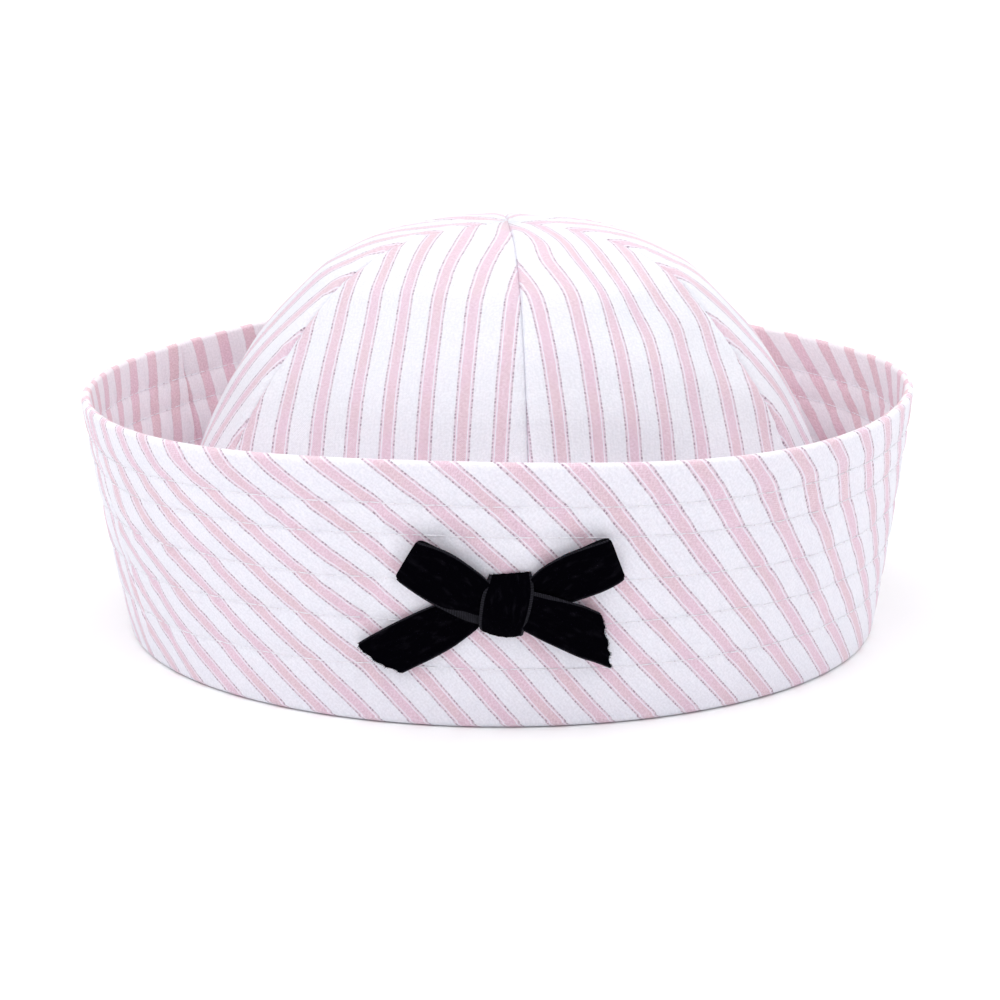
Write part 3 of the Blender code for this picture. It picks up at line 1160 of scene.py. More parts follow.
        lean = math.degrees(math.atan2(form.rim_radius - form.base_radius, form.rim_height))
        tilt = math.radians(lean)
        flat = np.linspace(0.0, 1.0, 4)[None]
        under = form.base_radius + form.fold_radius * (math.tan(tilt) - 1 / math.cos(tilt))
        foot = form.head_radius + (under - form.head_radius) * flat[:, :-1]
        put(lambda a: form.place(a, foot, 0.0 * foot), -(3.0 + (under - foot)) / self.slope_height, False)
        turn = np.linspace(-90.0, -lean, 8)[:-1]
        arc_share = self.fold_share - np.radians(-lean - turn)[None] * form.fold_radius / self.slope_height
        put(lambda a: rolling(a, form.fold_radius, form.fold_radius, turn), arc_share, False)
        rows = self.shares(self.outer_foot, self.rim_share, BrimFace.OUTER)[None]
        share = rows + self.drift(az, rows)
        proud = self.relief(az, rows, BrimFace.OUTER)
        put(lambda a: form.wall_point(a, share * form.top(a), proud), share, False)
        half = form.wall / 2.0
        for angle in np.linspace(-lean, 180.0 - lean, 12)[1:-1]:
            past = angle > self.facing_from
            rolled = 180.0 - lean - angle if past else angle + lean
            spot = self.rim_share + math.radians(rolled) * half / self.slope_height
            put(lambda a: rim(a, math.radians(angle)), spot + 0.0 * az, past)
        rows = self.shares(self.inner_foot, self.rim_share, BrimFace.INNER)[::-1][None]
        share = rows + self.drift(az, rows)
        proud = self.relief(az, rows, BrimFace.INNER)
        put(lambda a: form.wall_point(a, share * form.top(a), -form.wall - proud), share, True)
        crease = np.linspace(-lean, -90.0, 5)[1:]
        reach = form.wall + form.crease_radius
        crease_share = self.fold_share + 0.0 * crease[None]
        put(lambda a: rolling(a, reach, form.crease_radius, crease), crease_share, True)
        edge = np.array([[form.head_radius + 2.0, form.head_radius]])
        put(lambda a: form.place(a, edge, form.wall + 0.0 * edge), -0.02 + 0.0 * edge, True)
        stacked = (np.concatenate(part, 1) for part in (points, turns, runs))
        return *stacked, np.array(facing)

    def kinks(self, azimuth: np.ndarray, share: np.ndarray) -> np.ndarray:
        """How far the gathers at the stitching shift the stripes.

        Args:
            azimuth: In radians.
            share: The share of the brim's height.

        Returns:
            The shift in mm.
        """
        total = np.zeros(np.broadcast(azimuth, share).shape)
        for number, row in enumerate(self.stitch_rows):
            off = (share - row) * self.slope_height
            total = total + 0.13 * Gathers(90 + number, 30, 90).at(azimuth) * bell(off, 3.0)
        return total

    def cloth(
        self, azimuth: np.ndarray, az: np.ndarray, share: np.ndarray, facing: np.ndarray
    ) -> np.ndarray:
        """Where each corner of each face lies on the cloth.

        Args:
            azimuth: The columns in radians, with the closing one at the end.
            az: The azimuth of each place, for the same columns and closed places.
            share: The share of the height of each place.
            facing: Which places belong to the inner facing.

        Returns:
            Across and along in mm, as (span, place, 4, 2).
        """
        kink = self.kinks(az, share)

        def laid(lay: BiasLay | UprightLay, turn: float, slant: float) -> np.ndarray:
            """Lays one panel's cloth over the whole brim.

            Args:
                lay: How its stripes run.
                turn: How far its count of stripes is turned on, in radians.
                slant: How far its threads slant from upright, in radians.

            Returns:
                Across and along of each face's corners.
            """
            across = lay.across(az + turn, share) * self.repeat + kink
            way = 1 if slant == 0.0 else -1
            up = share * self.slope_height * math.cos(slant) * way
            along = az * self.mean_radius * math.sin(slant) + up
            return ClothBody.spread(np.stack([across, along], -1))

        middle = (np.degrees(azimuth[:-1] + azimuth[1:]) / 2.0)[:, None, None, None]
        front, back = (laid(BiasLay(turned), 0.0, math.pi / 4) for turned in (0.0, 180.0))
        outer = np.where(middle < self.far_seam, front, back)
        inner = laid(self.facing_lays[-1], math.tau, 0.0)
        for seam, lay in zip(self.facing_seams, self.facing_lays):
            inner = np.where(middle > seam, laid(lay, 0.0, 0.0), inner)
        return np.where(facing[None, :, None, None], inner, outer)

    def build(self) -> bpy.types.Object:
        """Builds the brim's cloth, which stands for the brim's solid.

        Returns:
            The brim as a closed body of cloth.
        """
        azimuth = self.azimuths()
        closing = np.append(azimuth, azimuth[0] + math.tau)
        points, here, share, facing = self.section(azimuth)
        here, share = np.vstack([here, here[:1] + math.tau]), np.vstack([share, share[:1]])
        here, share = np.hstack([here, here[:, :1]]), np.hstack([share, share[:, :1]])
        body = ClothBody("brim_cloth", facing=True)
        body.band(points, self.cloth(closing, here, share, facing), facing.astype(int), ring=True)
        made = body.made((self.wardrobe.cotton,), sharp=60.0)
        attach(made, "root")
        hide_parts("brim")
        return made

    def stitch_tree(self) -> Grower:
        """Builds the tree that lays stitches along lines, with small cones of painted shade at their needle
        holes.

        Returns:
            The tree.
        """
        grow = Grower(
            "stitch_run", Pitch=self.stitch_pitch * MM, Length=self.stitch_length * MM,
            Rise=self.stitch_rise * MM, Thread_Radius=self.thread_radius * MM,
            Hole_Radius=self.hole_radius * MM, Seed=7,
        )
        given = grow.given
        half = grow.math("MULTIPLY", given["Length"], 0.5)
        back = grow.math("MULTIPLY", half, -1.0)
        sunk = grow.math("MULTIPLY", given["Thread Radius"], -1.2)
        arch = grow.vector(0.0, 0.0, given["Rise"])
        thread = grow.thread(grow.vector(back, 0.0, sunk), arch, grow.vector(half, 0.0, sunk), 5)
        # Painted shade: small dark cones at the stitch ends stand for the shade in the needle holes.
        hole = grow.add("GeometryNodeMeshCone", {
            "Vertices": 6, "Radius Top": grow.math("MULTIPLY", given["Hole Radius"], 0.55),
            "Radius Bottom": given["Hole Radius"], "Depth": self.hole_depth * MM,
        }).outputs[0]
        ends = []
        for way in (half, back):
            spot = grow.vector(grow.math("MULTIPLY", way, 1.12), 0.0, -0.10 * MM)
            moved = grow.add("GeometryNodeTransform", {"Geometry": hole, "Translation": spot})
            ends.append(moved.outputs[0])
        marked = grow.add("GeometryNodeStoreNamedAttribute", {
            "Geometry": grow.joined(*ends), "Name": "hole", "Value": True,
        }, data_type="BOOLEAN", domain="FACE").outputs[0]
        stood = grow.aligned("Z", Vector=grow.outward())
        tangent = grow.add("GeometryNodeInputTangent").outputs[0]
        laid = grow.aligned("X", "Z", Rotation=stood, Vector=tangent)
        size = grow.add("FunctionNodeRandomValue", {
            0: (0.86, 0.9, 0.8), 1: (1.05, 1.1, 1.15), "Seed": given["Seed"],
        }, data_type="FLOAT_VECTOR").outputs[0]
        stitch = grow.joined(thread, marked)
        points = grow.set_down(Points=grow.stops(), Instance=stitch, Rotation=laid, Scale=size)
        grow.close(points, (self.wardrobe.thread, None), (self.wardrobe.hole, "hole"))
        return grow

    def stitch(self, tree: Grower, face: BrimFace) -> bpy.types.Object:
        """Lays the rows of stitches on one face.

        Args:
            tree: The stitch tree.
            face: Which face of the brim.

        Returns:
            The stitches as one piece.
        """
        azimuth = np.linspace(0.0, math.tau, 1440, endpoint=False)
        runs, headings = [], []
        inner = face is BrimFace.INNER
        for row in self.stitch_rows:
            share = row + self.drift(azimuth, np.array(row))
            proud = self.relief(azimuth, np.array(row), face) + 0.05
            off = -self.form.wall - proud if inner else proud
            here = self.turned(azimuth, share)
            runs.append(self.form.wall_point(here, share * self.form.top(here), off))
            headings.append(self.form.outward(here) * (-1.0 if inner else 1.0))
        path = thread_path(f"{face.value}_rows", runs, headings, closed=True)
        name = f"brim_stitches_{face.value}"
        slim = {"Rise": self.inner_stitch_rise * MM, "Thread_Radius": self.inner_thread_radius * MM}
        slim = slim if inner else {}
        made = shown(name, tree.grown(name, path, Seed=7 if inner else 3, **slim))
        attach(made, "root")
        return made


# --- Crown -------------------------------------------------------------------------


@dataclass(frozen=True)
class GoreLay:
    """How the stripes run over one gore.

    They lean towards its outer seam, where they lie a little further apart. Near the top
    the cloth is pulled to that seam, and the crest, given as shift, rise and width in mm,
    draws the stripes on the inner side.
    """

    side: float = 1.0
    stripe_at: float = 0.0
    pitch: float = 9.2
    growth: float = 0.0
    lean: float = 0.215
    curl: float = 0.0004
    pull: float = 0.0
    crest: tuple = (0.0, 120.0, 9.0)
    level: float = 60.0
    inside: float = 5.0

    def across(self, arc: np.ndarray, rise: np.ndarray) -> np.ndarray:
        """Which stripe a place is on.

        Args:
            arc: Distance round the crown from the gore's middle line, in mm.
            rise: Distance up the gore, in mm.

        Returns:
            The count of repeats; whole numbers are stripe centres.
        """
        up = rise - self.level
        out = self.side * arc
        outer = 1.0 - np.exp(-np.maximum(out + 6.0, 0.0) / 8.0)
        drawn = self.pull * outer * ramp(rise, 88.0, 106.0)
        much, at, width = self.crest
        drawn = drawn + much * bell(rise - at, width) * ramp(-out, -20.0, 8.0)
        foot = out + drawn - self.lean * up - self.curl * up * np.abs(up)
        return self.count(foot) - self.count(np.array(self.stripe_at))

    def count(self, foot: np.ndarray) -> np.ndarray:
        """Counts repeats from a line just inside the middle, past which they grow wider.

        Args:
            foot: Where the stripe stands at the gore's foot, in mm from the middle.

        Returns:
            The count.
        """
        over = foot + self.inside
        if self.growth == 0.0:
            return over / self.pitch
        spread = np.log1p(self.growth * np.maximum(over, 0.0) / self.pitch) / self.growth
        return np.where(over < 0.0, over / self.pitch, spread)


@dataclass(frozen=True)
class Dent:
    """A soft dent in the crown: its middle, heading in degrees, and sizes in mm."""

    azimuth: float
    rise: float
    heading: float
    length: float
    width: float
    depth: float

    def at(self, azimuth: np.ndarray, radius: np.ndarray, rise: np.ndarray) -> np.ndarray:
        """How far it moves the cloth: inwards, with a faint lip beside it.

        Args:
            azimuth: Of each point, in radians.
            radius: Of each point.
            rise: Distance up the gore.

        Returns:
            The shift outwards in mm.
        """
        x = (azimuth - math.radians(self.azimuth)) * radius
        y = rise - self.rise
        turn = math.radians(self.heading)
        along = x * math.cos(turn) + y * math.sin(turn)
        beside = y * math.cos(turn) - x * math.sin(turn)
        body = bell(along, self.length)
        lip = bell(np.abs(beside) - 1.7 * self.width, self.width)
        return body * self.depth * (0.35 * lip - bell(beside, self.width))


@dataclass
class Crown:
    """The domed crown of six gores that meet in turned-in seams.

    The profile's rows are radius and height, and the seams are azimuths in degrees, in
    the order of the gores.
    """

    form: CapForm
    wardrobe: Wardrobe
    wall: float = 1.2
    waviness: float = 0.55
    ripples: float = 0.22
    seam_fold: float = 0.62
    seam_trough: float = 0.30
    seam_lip: float = 0.22
    seam_pucker: float = 0.09
    profile: tuple = (
        (91.9, 2.7), (86.4, 23.8), (82.0, 41.6), (74.3, 58.3), (63.6, 75.4),
        (50.4, 91.0), (42.4, 96.6), (31.8, 101.2), (15.9, 104.3), (0.15, 105.3),
    )
    seams: tuple = (-63.0, 3.8, 66.5, 124.1, 181.8, 239.4, 297.0)
    lean: tuple = (1.5, 1.9)
    lean_from: float = 2.7
    lean_height: float = 16.0
    columns: int = 56
    rows: int = 112
    gap: float = 0.02
    repeat: float = STRIPE_REPEAT
    lays: tuple = (
        GoreLay(-1.0, 1.9, 9.4, 0.13, 0.20, 0.0009, 0.0, (1.9, 130.0, 13.0)),
        GoreLay(1.0, -4.1, 9.3, 0.17, 0.215, 0.0003, 5.6, (1.8, 118.0, 8.0)),
        GoreLay(-1.0, 36.6, 9.3, 0.13),
        GoreLay(1.0, 0.0, 9.2),
        GoreLay(-1.0, 3.0, 9.2),
        GoreLay(1.0, 2.0, 9.3, 0.13),
    )
    dents: tuple = (
        Dent(45.0, 97.0, 12.0, 9.0, 4.5, 0.35),
        Dent(15.0, 120.0, 70.0, 14.0, 5.0, 0.25),
    )

    def sheet_tree(self) -> Grower:
        """Builds the tree that turns the profile line round the crown between two seams.

        Returns:
            The tree.
        """
        sizes = {"Start_Azimuth": 0.0, "End_Azimuth": 1.0, "Columns": self.columns, "Rows": self.rows}
        grow = Grower("gore_sheet", **sizes)
        given = grow.given
        profile = grow.add("GeometryNodeMeshToCurve", {0: given["Geometry"]}).outputs[0]
        grid = grow.add("GeometryNodeMeshGrid", {
            "Size X": 1.0, "Size Y": 1.0, "Vertices X": given["Columns"], "Vertices Y": given["Rows"],
        }).outputs[0]
        spot = grow.add("ShaderNodeSeparateXYZ", {0: grow.add("GeometryNodeInputPosition").outputs[0]})
        across = grow.math("ADD", spot.outputs[0], 0.5)
        up = grow.math("ADD", spot.outputs[1], 0.5)
        wave = grow.math("COSINE", grow.math("MULTIPLY", across, math.pi))
        eased = grow.math("MULTIPLY_ADD", wave, -0.5, 0.5)
        wide = grow.math("SUBTRACT", given["End Azimuth"], given["Start Azimuth"])
        azimuth = grow.math("MULTIPLY_ADD", eased, wide, given["Start Azimuth"])
        sample = grow.add("GeometryNodeSampleCurve", {
            "Curves": profile, "Factor": up,
        }, mode="FACTOR", use_all_curves=False)
        reach = grow.add("ShaderNodeSeparateXYZ", {0: sample.outputs["Position"]})
        x = grow.math("MULTIPLY", reach.outputs[0], grow.math("SINE", azimuth))
        forward = grow.math("MULTIPLY", grow.math("COSINE", azimuth), -1.0)
        y = grow.math("MULTIPLY", reach.outputs[0], forward)
        turned = grow.vector(x, y, reach.outputs[2])
        placed = grow.add("GeometryNodeSetPosition", {"Geometry": grid, "Position": turned}).outputs[0]
        grow.close(placed, (self.wardrobe.cotton, None))
        return grow

    def leaned(self, points: np.ndarray) -> np.ndarray:
        """Leans the crown a little to one side and back, more the higher it is.

        Args:
            points: Points of the upright crown.

        Returns:
            The points moved.
        """
        high = np.maximum(points[..., 2] - self.lean_from, 0.0)
        share = 1.0 - np.exp(-high / self.lean_height)
        moved = points.copy()
        moved[..., 0] += self.form.base_shift + self.lean[0] * share
        moved[..., 1] += self.lean[1] * share
        return moved

    def relief(
        self, number: int, azimuth: np.ndarray, radius: np.ndarray, rise: np.ndarray,
        points: np.ndarray,
    ) -> np.ndarray:
        """How far a gore's cloth stands off the plain dome, in mm.

        Args:
            number: Which gore, from 0.
            azimuth: Of each point, in radians.
            radius: Of each point.
            rise: Distance up the gore.
            points: The points themselves.

        Returns:
            The height off the dome.
        """
        waves = self.waviness * Unevenness(5, 38.0, 90.0).at(points)
        total = waves + self.ripples * Unevenness(6, 14.0, 30.0).at(points)
        total = total * ramp(radius, 1.0, 30.0)
        tight = np.clip(radius / 9.0, 0.0, 1.0)
        for side, seam in enumerate(self.seams[number : number + 2]):
            off = np.abs(azimuth - math.radians(seam)) * radius
            beat = np.sin(rise / 5.1 * math.tau + seam)
            beat = beat + 0.8 * np.sin(rise / 3.3 * math.tau + 2.0 * seam + side)
            total += self.seam_pucker * beat * bell(off - 1.8, 3.0) * ramp(radius, 6.0, 26.0)
            total += self.seam_lip * bell(off - 3.0, 2.2) * tight
            total -= (self.seam_trough * bell(off, 1.5) + self.seam_fold * bell(off, 0.34)) * tight
        for dent in self.dents:
            total += dent.at(azimuth, radius, rise)
        return total

    def build(self) -> list[bpy.types.Object]:
        """Builds the six gores, each of which stands for its solid.

        Returns:
            The gores in order.
        """
        profile = smooth_path(self.profile, self.rows)
        line = bpy.data.meshes.new("crown_profile")
        spots = [(r * MM, 0.0, h * MM) for r, h in profile]
        line.from_pydata(spots, [(k, k + 1) for k in range(len(spots) - 1)], [])
        tree = self.sheet_tree()
        return [self.gore(number, tree, line) for number in range(len(self.lays))]

    def gore(self, number: int, tree: Grower, line: bpy.types.Mesh) -> bpy.types.Object:
        """Builds one gore.

        Args:
            number: Which gore, from 0.
            tree: The tree that makes its plain sheet.
            line: The crown's profile as a line.

        Returns:
            The gore as a closed body of cloth.
        """
        start, end = (math.radians(a) for a in self.seams[number : number + 2])
        name = f"gore_{number + 1}"
        sheet = tree.grown(name, line, Start_Azimuth=start, End_Azimuth=end)
        flat = np.empty(len(sheet.vertices) * 3, dtype=np.float32)
        sheet.vertices.foreach_get("co", flat)
        points = flat.reshape(self.columns, self.rows, 3).astype(float) / MM
        bpy.data.meshes.remove(sheet)
        points = points.transpose(1, 0, 2)
        radius = np.hypot(points[..., 0], points[..., 1])
        steps = np.linalg.norm(np.diff(points[:, self.columns // 2], axis=0), axis=1)
        rise = np.concatenate([[0.0], np.cumsum(steps)])[:, None] + 0.0 * radius
        eased = 0.5 - 0.5 * np.cos(np.linspace(0.0, math.pi, self.columns))
        azimuth = start + (end - start) * eased[None] + 0.0 * radius
        trim = np.clip(self.gap / np.maximum(radius, 0.5), 0.0, 0.02)
        trimmed = np.clip(azimuth, start + trim, end - trim)
        points = np.stack([radius * np.sin(trimmed), -radius * np.cos(trimmed), points[..., 2]], -1)
        normal = self.dome_normals(points)
        proud = self.relief(number, azimuth, radius, rise, points)
        tight = np.clip(radius / 12.0, 0.15, 1.0)
        outer = self.leaned(points + normal * proud[..., None])
        inner = self.leaned(points + normal * (np.minimum(proud, 0.0) - self.wall * tight)[..., None])
        middle = (start + end) / 2.0
        arc = (azimuth - middle) * radius
        lay = self.lays[number]
        across = lay.across(arc, rise) * self.repeat
        along = rise + lay.side * 0.2 * arc
        cloth = np.stack([across, along], -1)
        ring = np.concatenate([outer, inner[:, ::-1]], 1)
        laid = np.concatenate([cloth, cloth[:, ::-1], cloth[:, :1]], 1)
        body = ClothBody(f"{name}_cloth")
        body.band(ring, ClothBody.spread(laid), np.zeros(ring.shape[1], dtype=int))
        made = body.made((self.wardrobe.cotton,), sharp=70.0)
        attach(made, "root")
        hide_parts(f"crown_gore_{number + 1}")
        return made

    @staticmethod
    def dome_normals(points: np.ndarray) -> np.ndarray:
        """Finds the outward directions of the plain dome.

        Args:
            points: A grid of its points, as (row up, column round, 3).

        Returns:
            The direction at each point.
        """
        up = np.gradient(points, axis=0)
        round_ = np.stack([-points[..., 1], points[..., 0], 0.0 * points[..., 0]], -1)
        return unit(np.cross(unit(round_), unit(up)))


# --- Bow ---------------------------------------------------------------------------


@dataclass(frozen=True)
class Ribbon:
    """One stretch of the bow's ribbon.

    Its edges start, belly and end at three (u, v) points on the brim's front, and its
    course gives the lift off the brim along the ribbon's length. A loop's back layer
    slips down behind the front one. A cut end bulges and frays by so many mm; bare gives
    how much wider the woven edge shows near the knot.
    """

    upper: tuple
    lower: tuple
    course: tuple
    slip: float = 0.0
    cut: bool = False
    bulge: float = 0.0
    ragged: float = 0.0
    bare: tuple = (0.0, 0.0)


@dataclass
class Bow:
    """The velvet bow: two loops, two tails and the knot.

    The knot's sides are (u, v) points from its foot to its top, and knot_edge and
    knot_lift are how far its ends and its middle stand off the brim. The cuts and their
    headings are noted as the ribbons are built, for the frayed threads.
    """

    form: CapForm
    wardrobe: Wardrobe
    azimuth: float = 0.8
    slope_height: float = 35.0
    width: float = 9.5
    selvedge: float = 0.30
    pile: float = 0.13
    pile_rise: float = 0.32
    ripple: float = 0.10
    stations: int = 64
    places: int = 22
    knot_rows: int = 36
    knot_columns: int = 26
    knot_back: float = 0.3
    knot_half: float = 5.3
    knot_left: tuple = ((-5.9, -8.8), (-6.2, -6.2), (-5.75, -1.4), (-5.1, 1.8), (-3.6, 5.3))
    knot_right: tuple = ((3.9, -10.2), (4.3, -7.5), (5.5, -2.7), (6.4, 2.4), (6.1, 6.0))
    knot_lift: float = 5.0
    knot_edge: float = 0.9
    knot_bare: float = 0.75
    ribbons: dict = field(default_factory=lambda: {
        "bow_loop_left": Ribbon(
            ((-3.4, 4.4), (-10.9, 13.8), (-19.8, 14.4)), ((-4.8, -5.8), (-10.3, -6.0), (-25.6, 5.1)),
            ((0, 3.0), (0.25, 3.7), (0.6, 3.8), (0.9, 3.5), (0.97, 2.6),
             (0.9, 1.7), (0.6, 1.5), (0.3, 1.95), (0, 1.85)),
            slip=1.0, bare=(0.0, 1.15),
        ),
        "bow_loop_right": Ribbon(
            ((4.9, 4.0), (10.8, 12.2), (24.3, 14.7)), ((4.6, -4.2), (16.4, -1.6), (28.1, 4.4)),
            ((0, 2.1), (0.25, 2.4), (0.5, 2.9), (0.75, 3.5), (0.92, 3.3),
             (0.97, 2.4), (0.9, 1.5), (0.6, 0.9), (0.3, 0.8), (0, 0.8)),
            slip=1.0,
        ),
        "bow_tail_left": Ribbon(
            ((-3.6, 1.2), (-15.6, -0.1), (-36.0, -13.5)), ((-4.4, -5.6), (-9.0, -12.5), (-25.0, -20.2)),
            ((0, 0.75), (0.35, 0.75), (0.7, 1.0), (1, 1.8)), cut=True, bulge=1.2, ragged=0.22,
        ),
        "bow_tail_right": Ribbon(
            ((4.4, 2.6), (12.0, 1.7), (22.3, -4.7)), ((3.0, -7.2), (14.6, -13.7), (24.9, -19.2)),
            ((0, 3.4), (0.3, 3.9), (0.6, 3.9), (0.8, 2.6), (1, 1.9)), cut=True, bulge=0.4, ragged=0.30,
            bare=(0.5, 0.0),
        ),
    })
    cuts: list = field(default_factory=list)
    headings: list = field(default_factory=list)

    def on_brim(self, u: np.ndarray, v: np.ndarray, lift: np.ndarray) -> np.ndarray:
        """Finds a place over the brim's front.

        Args:
            u: Arc length from the bow's middle, towards +X.
            v: Distance up the brim from there.
            lift: Distance off the brim.

        Returns:
            The point.
        """
        middle = np.array(math.radians(self.azimuth))
        slope = float(self.form.slope(middle))
        round_ = self.form.base_radius + self.slope_height * math.sin(slope)
        height = (self.slope_height + v) * math.cos(slope)
        radius = self.form.base_radius + height * math.tan(slope) + lift * math.cos(slope)
        shift = self.form.base_shift * (1.0 - height / float(self.form.top(middle)))
        azimuth = middle + u / round_
        x = shift + radius * np.sin(azimuth)
        y = -radius * np.cos(azimuth)
        return np.stack(np.broadcast_arrays(x, y, height - lift * math.sin(slope)), -1)

    @staticmethod
    def edge(ends: tuple, share: np.ndarray) -> np.ndarray:
        """Finds a place on a ribbon's edge.

        Args:
            ends: The edge's start, belly and end.
            share: The share of its length.

        Returns:
            The (u, v) point.
        """
        a, b, c = (np.array(p, dtype=float) for p in ends)
        t = share[..., None]
        return (1 - t) ** 2 * a + 2 * t * (1 - t) * b + t * t * c

    def lanes(self, ribbon: Ribbon, course: np.ndarray, length: float) -> tuple[np.ndarray, np.ndarray]:
        """Where the ribbon's lengthwise lines run, and how thick its pile is there.

        The first two and the last two spans are the woven edges, which show wider near
        the knot where the ribbon is drawn together.

        Args:
            ribbon: The ribbon.
            course: Its stations, as distance along the brim and lift.
            length: Its length on the brim, in mm.

        Returns:
            The share of the width and the pile's height, as (station, line).
        """
        near = ramp(0.62 - course[:, :1] / length, 0.0, 0.34)
        front = (np.arange(len(course)) < len(course) * (1.0 if ribbon.cut else 0.45))[:, None]
        upper, lower = ((self.selvedge + extra * near * front) / self.width for extra in ribbon.bare)
        inner = 0.5 - 0.5 * np.cos(np.linspace(0.0, math.pi, self.places - 4))[None]
        body = upper + (1.0 - upper - lower) * inner
        lanes = np.hstack([0.0 * upper, 0.5 * upper, body, 1.0 - 0.5 * lower, 1.0 + 0.0 * lower])
        inset = np.minimum(lanes - upper, 1.0 - lower - lanes) * self.width
        return lanes, self.pile + self.pile_rise * ramp(inset, -0.05, 0.40)

    def ribbon(self, name: str, ribbon: Ribbon) -> bpy.types.Object:
        """Builds one ribbon as a closed body with piled faces and woven edges.

        Args:
            name: The CAD node that it stands for.
            ribbon: Its shape.

        Returns:
            The ribbon.
        """
        length = math.dist(ribbon.upper[0], ribbon.upper[2])
        course = smooth_path(tuple((s * length, lift) for s, lift in ribbon.course), self.stations)
        heading = unit(np.gradient(course, axis=0))
        lanes, pile = self.lanes(ribbon, course, length)
        across = np.hstack([lanes, lanes[:, ::-1]])
        thick = np.hstack([pile, -pile[:, ::-1]])
        share = (course[:, :1] - heading[:, 1:] * thick) / length
        if ribbon.cut:
            flat = np.stack([across * self.width, thick, 0.0 * across], -1)
            rough = Unevenness(31, 1.0, 3.6).at(flat)
            out = ribbon.ragged * rough + ribbon.bulge * np.sin(math.pi * across)
            share = share + ramp(course[:, :1] / length, 0.8, 1.0) * out / length
        lift = course[:, 1:] + heading[:, :1] * thick
        top, low = self.edge(ribbon.upper, share), self.edge(ribbon.lower, share)
        spot = top + (low - top) * across[..., None]
        behind = (np.arange(self.stations) > 0.5 * self.stations)[:, None]
        slipped = ribbon.slip * behind * ramp(1.0 - course[:, :1] / length, 0.02, 0.30)
        points = self.on_brim(spot[..., 0], spot[..., 1] - slipped, lift)
        ripples = Unevenness(33, 5.0, 12.0).at(points)[..., None]
        points = points + self.form.outward(np.array(0.0)) * self.ripple * ripples
        if ribbon.cut:
            self.cut_line(points[-1, : self.places], points[-3, : self.places])
        run = np.concatenate([[0.0], np.cumsum(np.linalg.norm(np.diff(course, axis=0), axis=1))])
        places = np.hstack([across, across[:, :1]]) * self.width
        cloth = np.stack(np.broadcast_arrays(places, run[:, None]), -1)
        lane = np.arange(self.places)
        woven = (lane < 2) | (lane > self.places - 4)
        slots = np.concatenate([woven, woven[-2::-1], [True]]).astype(int)
        body = ClothBody(f"{name}_ribbon")
        body.band(points, ClothBody.spread(cloth), slots)
        made = body.made((self.wardrobe.velvet, self.wardrobe.selvedge))
        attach(made, "root")
        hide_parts(name)
        return made

    def cut_line(self, end: np.ndarray, before: np.ndarray) -> None:
        """Notes a cut end, where threads fray, from its points and those just before."""
        self.cuts.append(end)
        self.headings.append(unit(end - before))

    def knot(self) -> bpy.types.Object:
        """Builds the knot: the ribbon's turn round the middle, with soft folds across.

        Returns:
            The knot.
        """
        share = np.linspace(0.0, 1.0, self.knot_rows)[:, None]
        across = np.sin(np.linspace(-0.5, 0.5, self.knot_columns) * math.pi)[None]
        left = smooth_path(self.knot_left, self.knot_rows)[:, None]
        right = smooth_path(self.knot_right, self.knot_rows)[:, None]
        spot = left + (right - left) * (across[..., None] + 1.0) / 2.0
        u, v = spot[..., 0], spot[..., 1]
        lift = self.knot_edge + (self.knot_lift - self.knot_edge) * np.sqrt(np.sin(math.pi * share))
        lift = lift - 0.25 * across**2 - 0.30 * bell(1.0 - np.abs(across), 0.07)
        lift = lift + 0.16 * np.sin(across * 5.2 + 0.8 * share) * np.sin(math.pi * share)
        v = v - 0.95 * np.cos(math.pi / 2.0 * across) * (1.0 - share) ** 3
        v = v + 0.07 * np.sin(across * 17.0 + 1.0) * np.abs(2.0 * share - 1.0) ** 6
        front = self.on_brim(u, v, lift)
        back = self.on_brim(u, v, self.knot_back + 0.0 * lift)
        ring = np.concatenate([front, back[:, ::-1]], 1)
        flat = np.stack(np.broadcast_arrays(u, v), -1)
        cloth = np.concatenate([flat, flat[:, ::-1], flat[:, :1]], 1)
        middle = (across[0, :-1] + across[0, 1:]) / 2.0
        woven = (1.0 - np.abs(middle) < self.knot_bare / self.knot_half).astype(int)
        slots = np.concatenate([woven, [1], woven[::-1], [1]])
        body = ClothBody("bow_knot_ribbon")
        body.band(ring, ClothBody.spread(cloth), slots)
        made = body.made((self.wardrobe.velvet, self.wardrobe.selvedge))
        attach(made, "root")
        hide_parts("bow_knot")
        for row, next_row in ((0, 1), (-1, -2)):
            self.cut_line(front[row, 1:-1], front[next_row, 1:-1])
        return made

    def fray_tree(self) -> Grower:
        """Builds the tree that sets short loose threads along cut and brushed edges.

        Returns:
            The tree.
        """
        grow = Grower("fray", Pitch=0.16 * MM, Length=0.42 * MM, Thread_Radius=0.045 * MM, Seed=11)
        given = grow.given
        length = given["Length"]
        root = grow.vector(grow.math("MULTIPLY", length, -0.4), 0.0, 0.0)
        bend = grow.vector(grow.math("MULTIPLY", length, 0.5), 0.0, grow.math("MULTIPLY", length, 0.22))
        strand = grow.thread(root, bend, grow.vector(length, 0.0, 0.0), 3)
        chance = grow.add("FunctionNodeRandomValue", {
            0: (-0.7, -0.7, -0.35), 1: (0.7, 0.7, 0.35), "Seed": given["Seed"],
        }, data_type="FLOAT_VECTOR").outputs[0]
        strayed = grow.add("ShaderNodeVectorMath", {0: grow.outward(), 1: chance}, operation="ADD")
        turned = grow.aligned("X", Vector=strayed.outputs[0])
        size = grow.add("FunctionNodeRandomValue", {
            2: 0.25, 3: 1.25, "Seed": grow.math("ADD", given["Seed"], 5.0),
        }, data_type="FLOAT").outputs[1]
        points = grow.set_down(Points=grow.stops(), Instance=strand, Rotation=turned, Scale=size)
        grow.close(points, (self.wardrobe.velvet, None))
        return grow

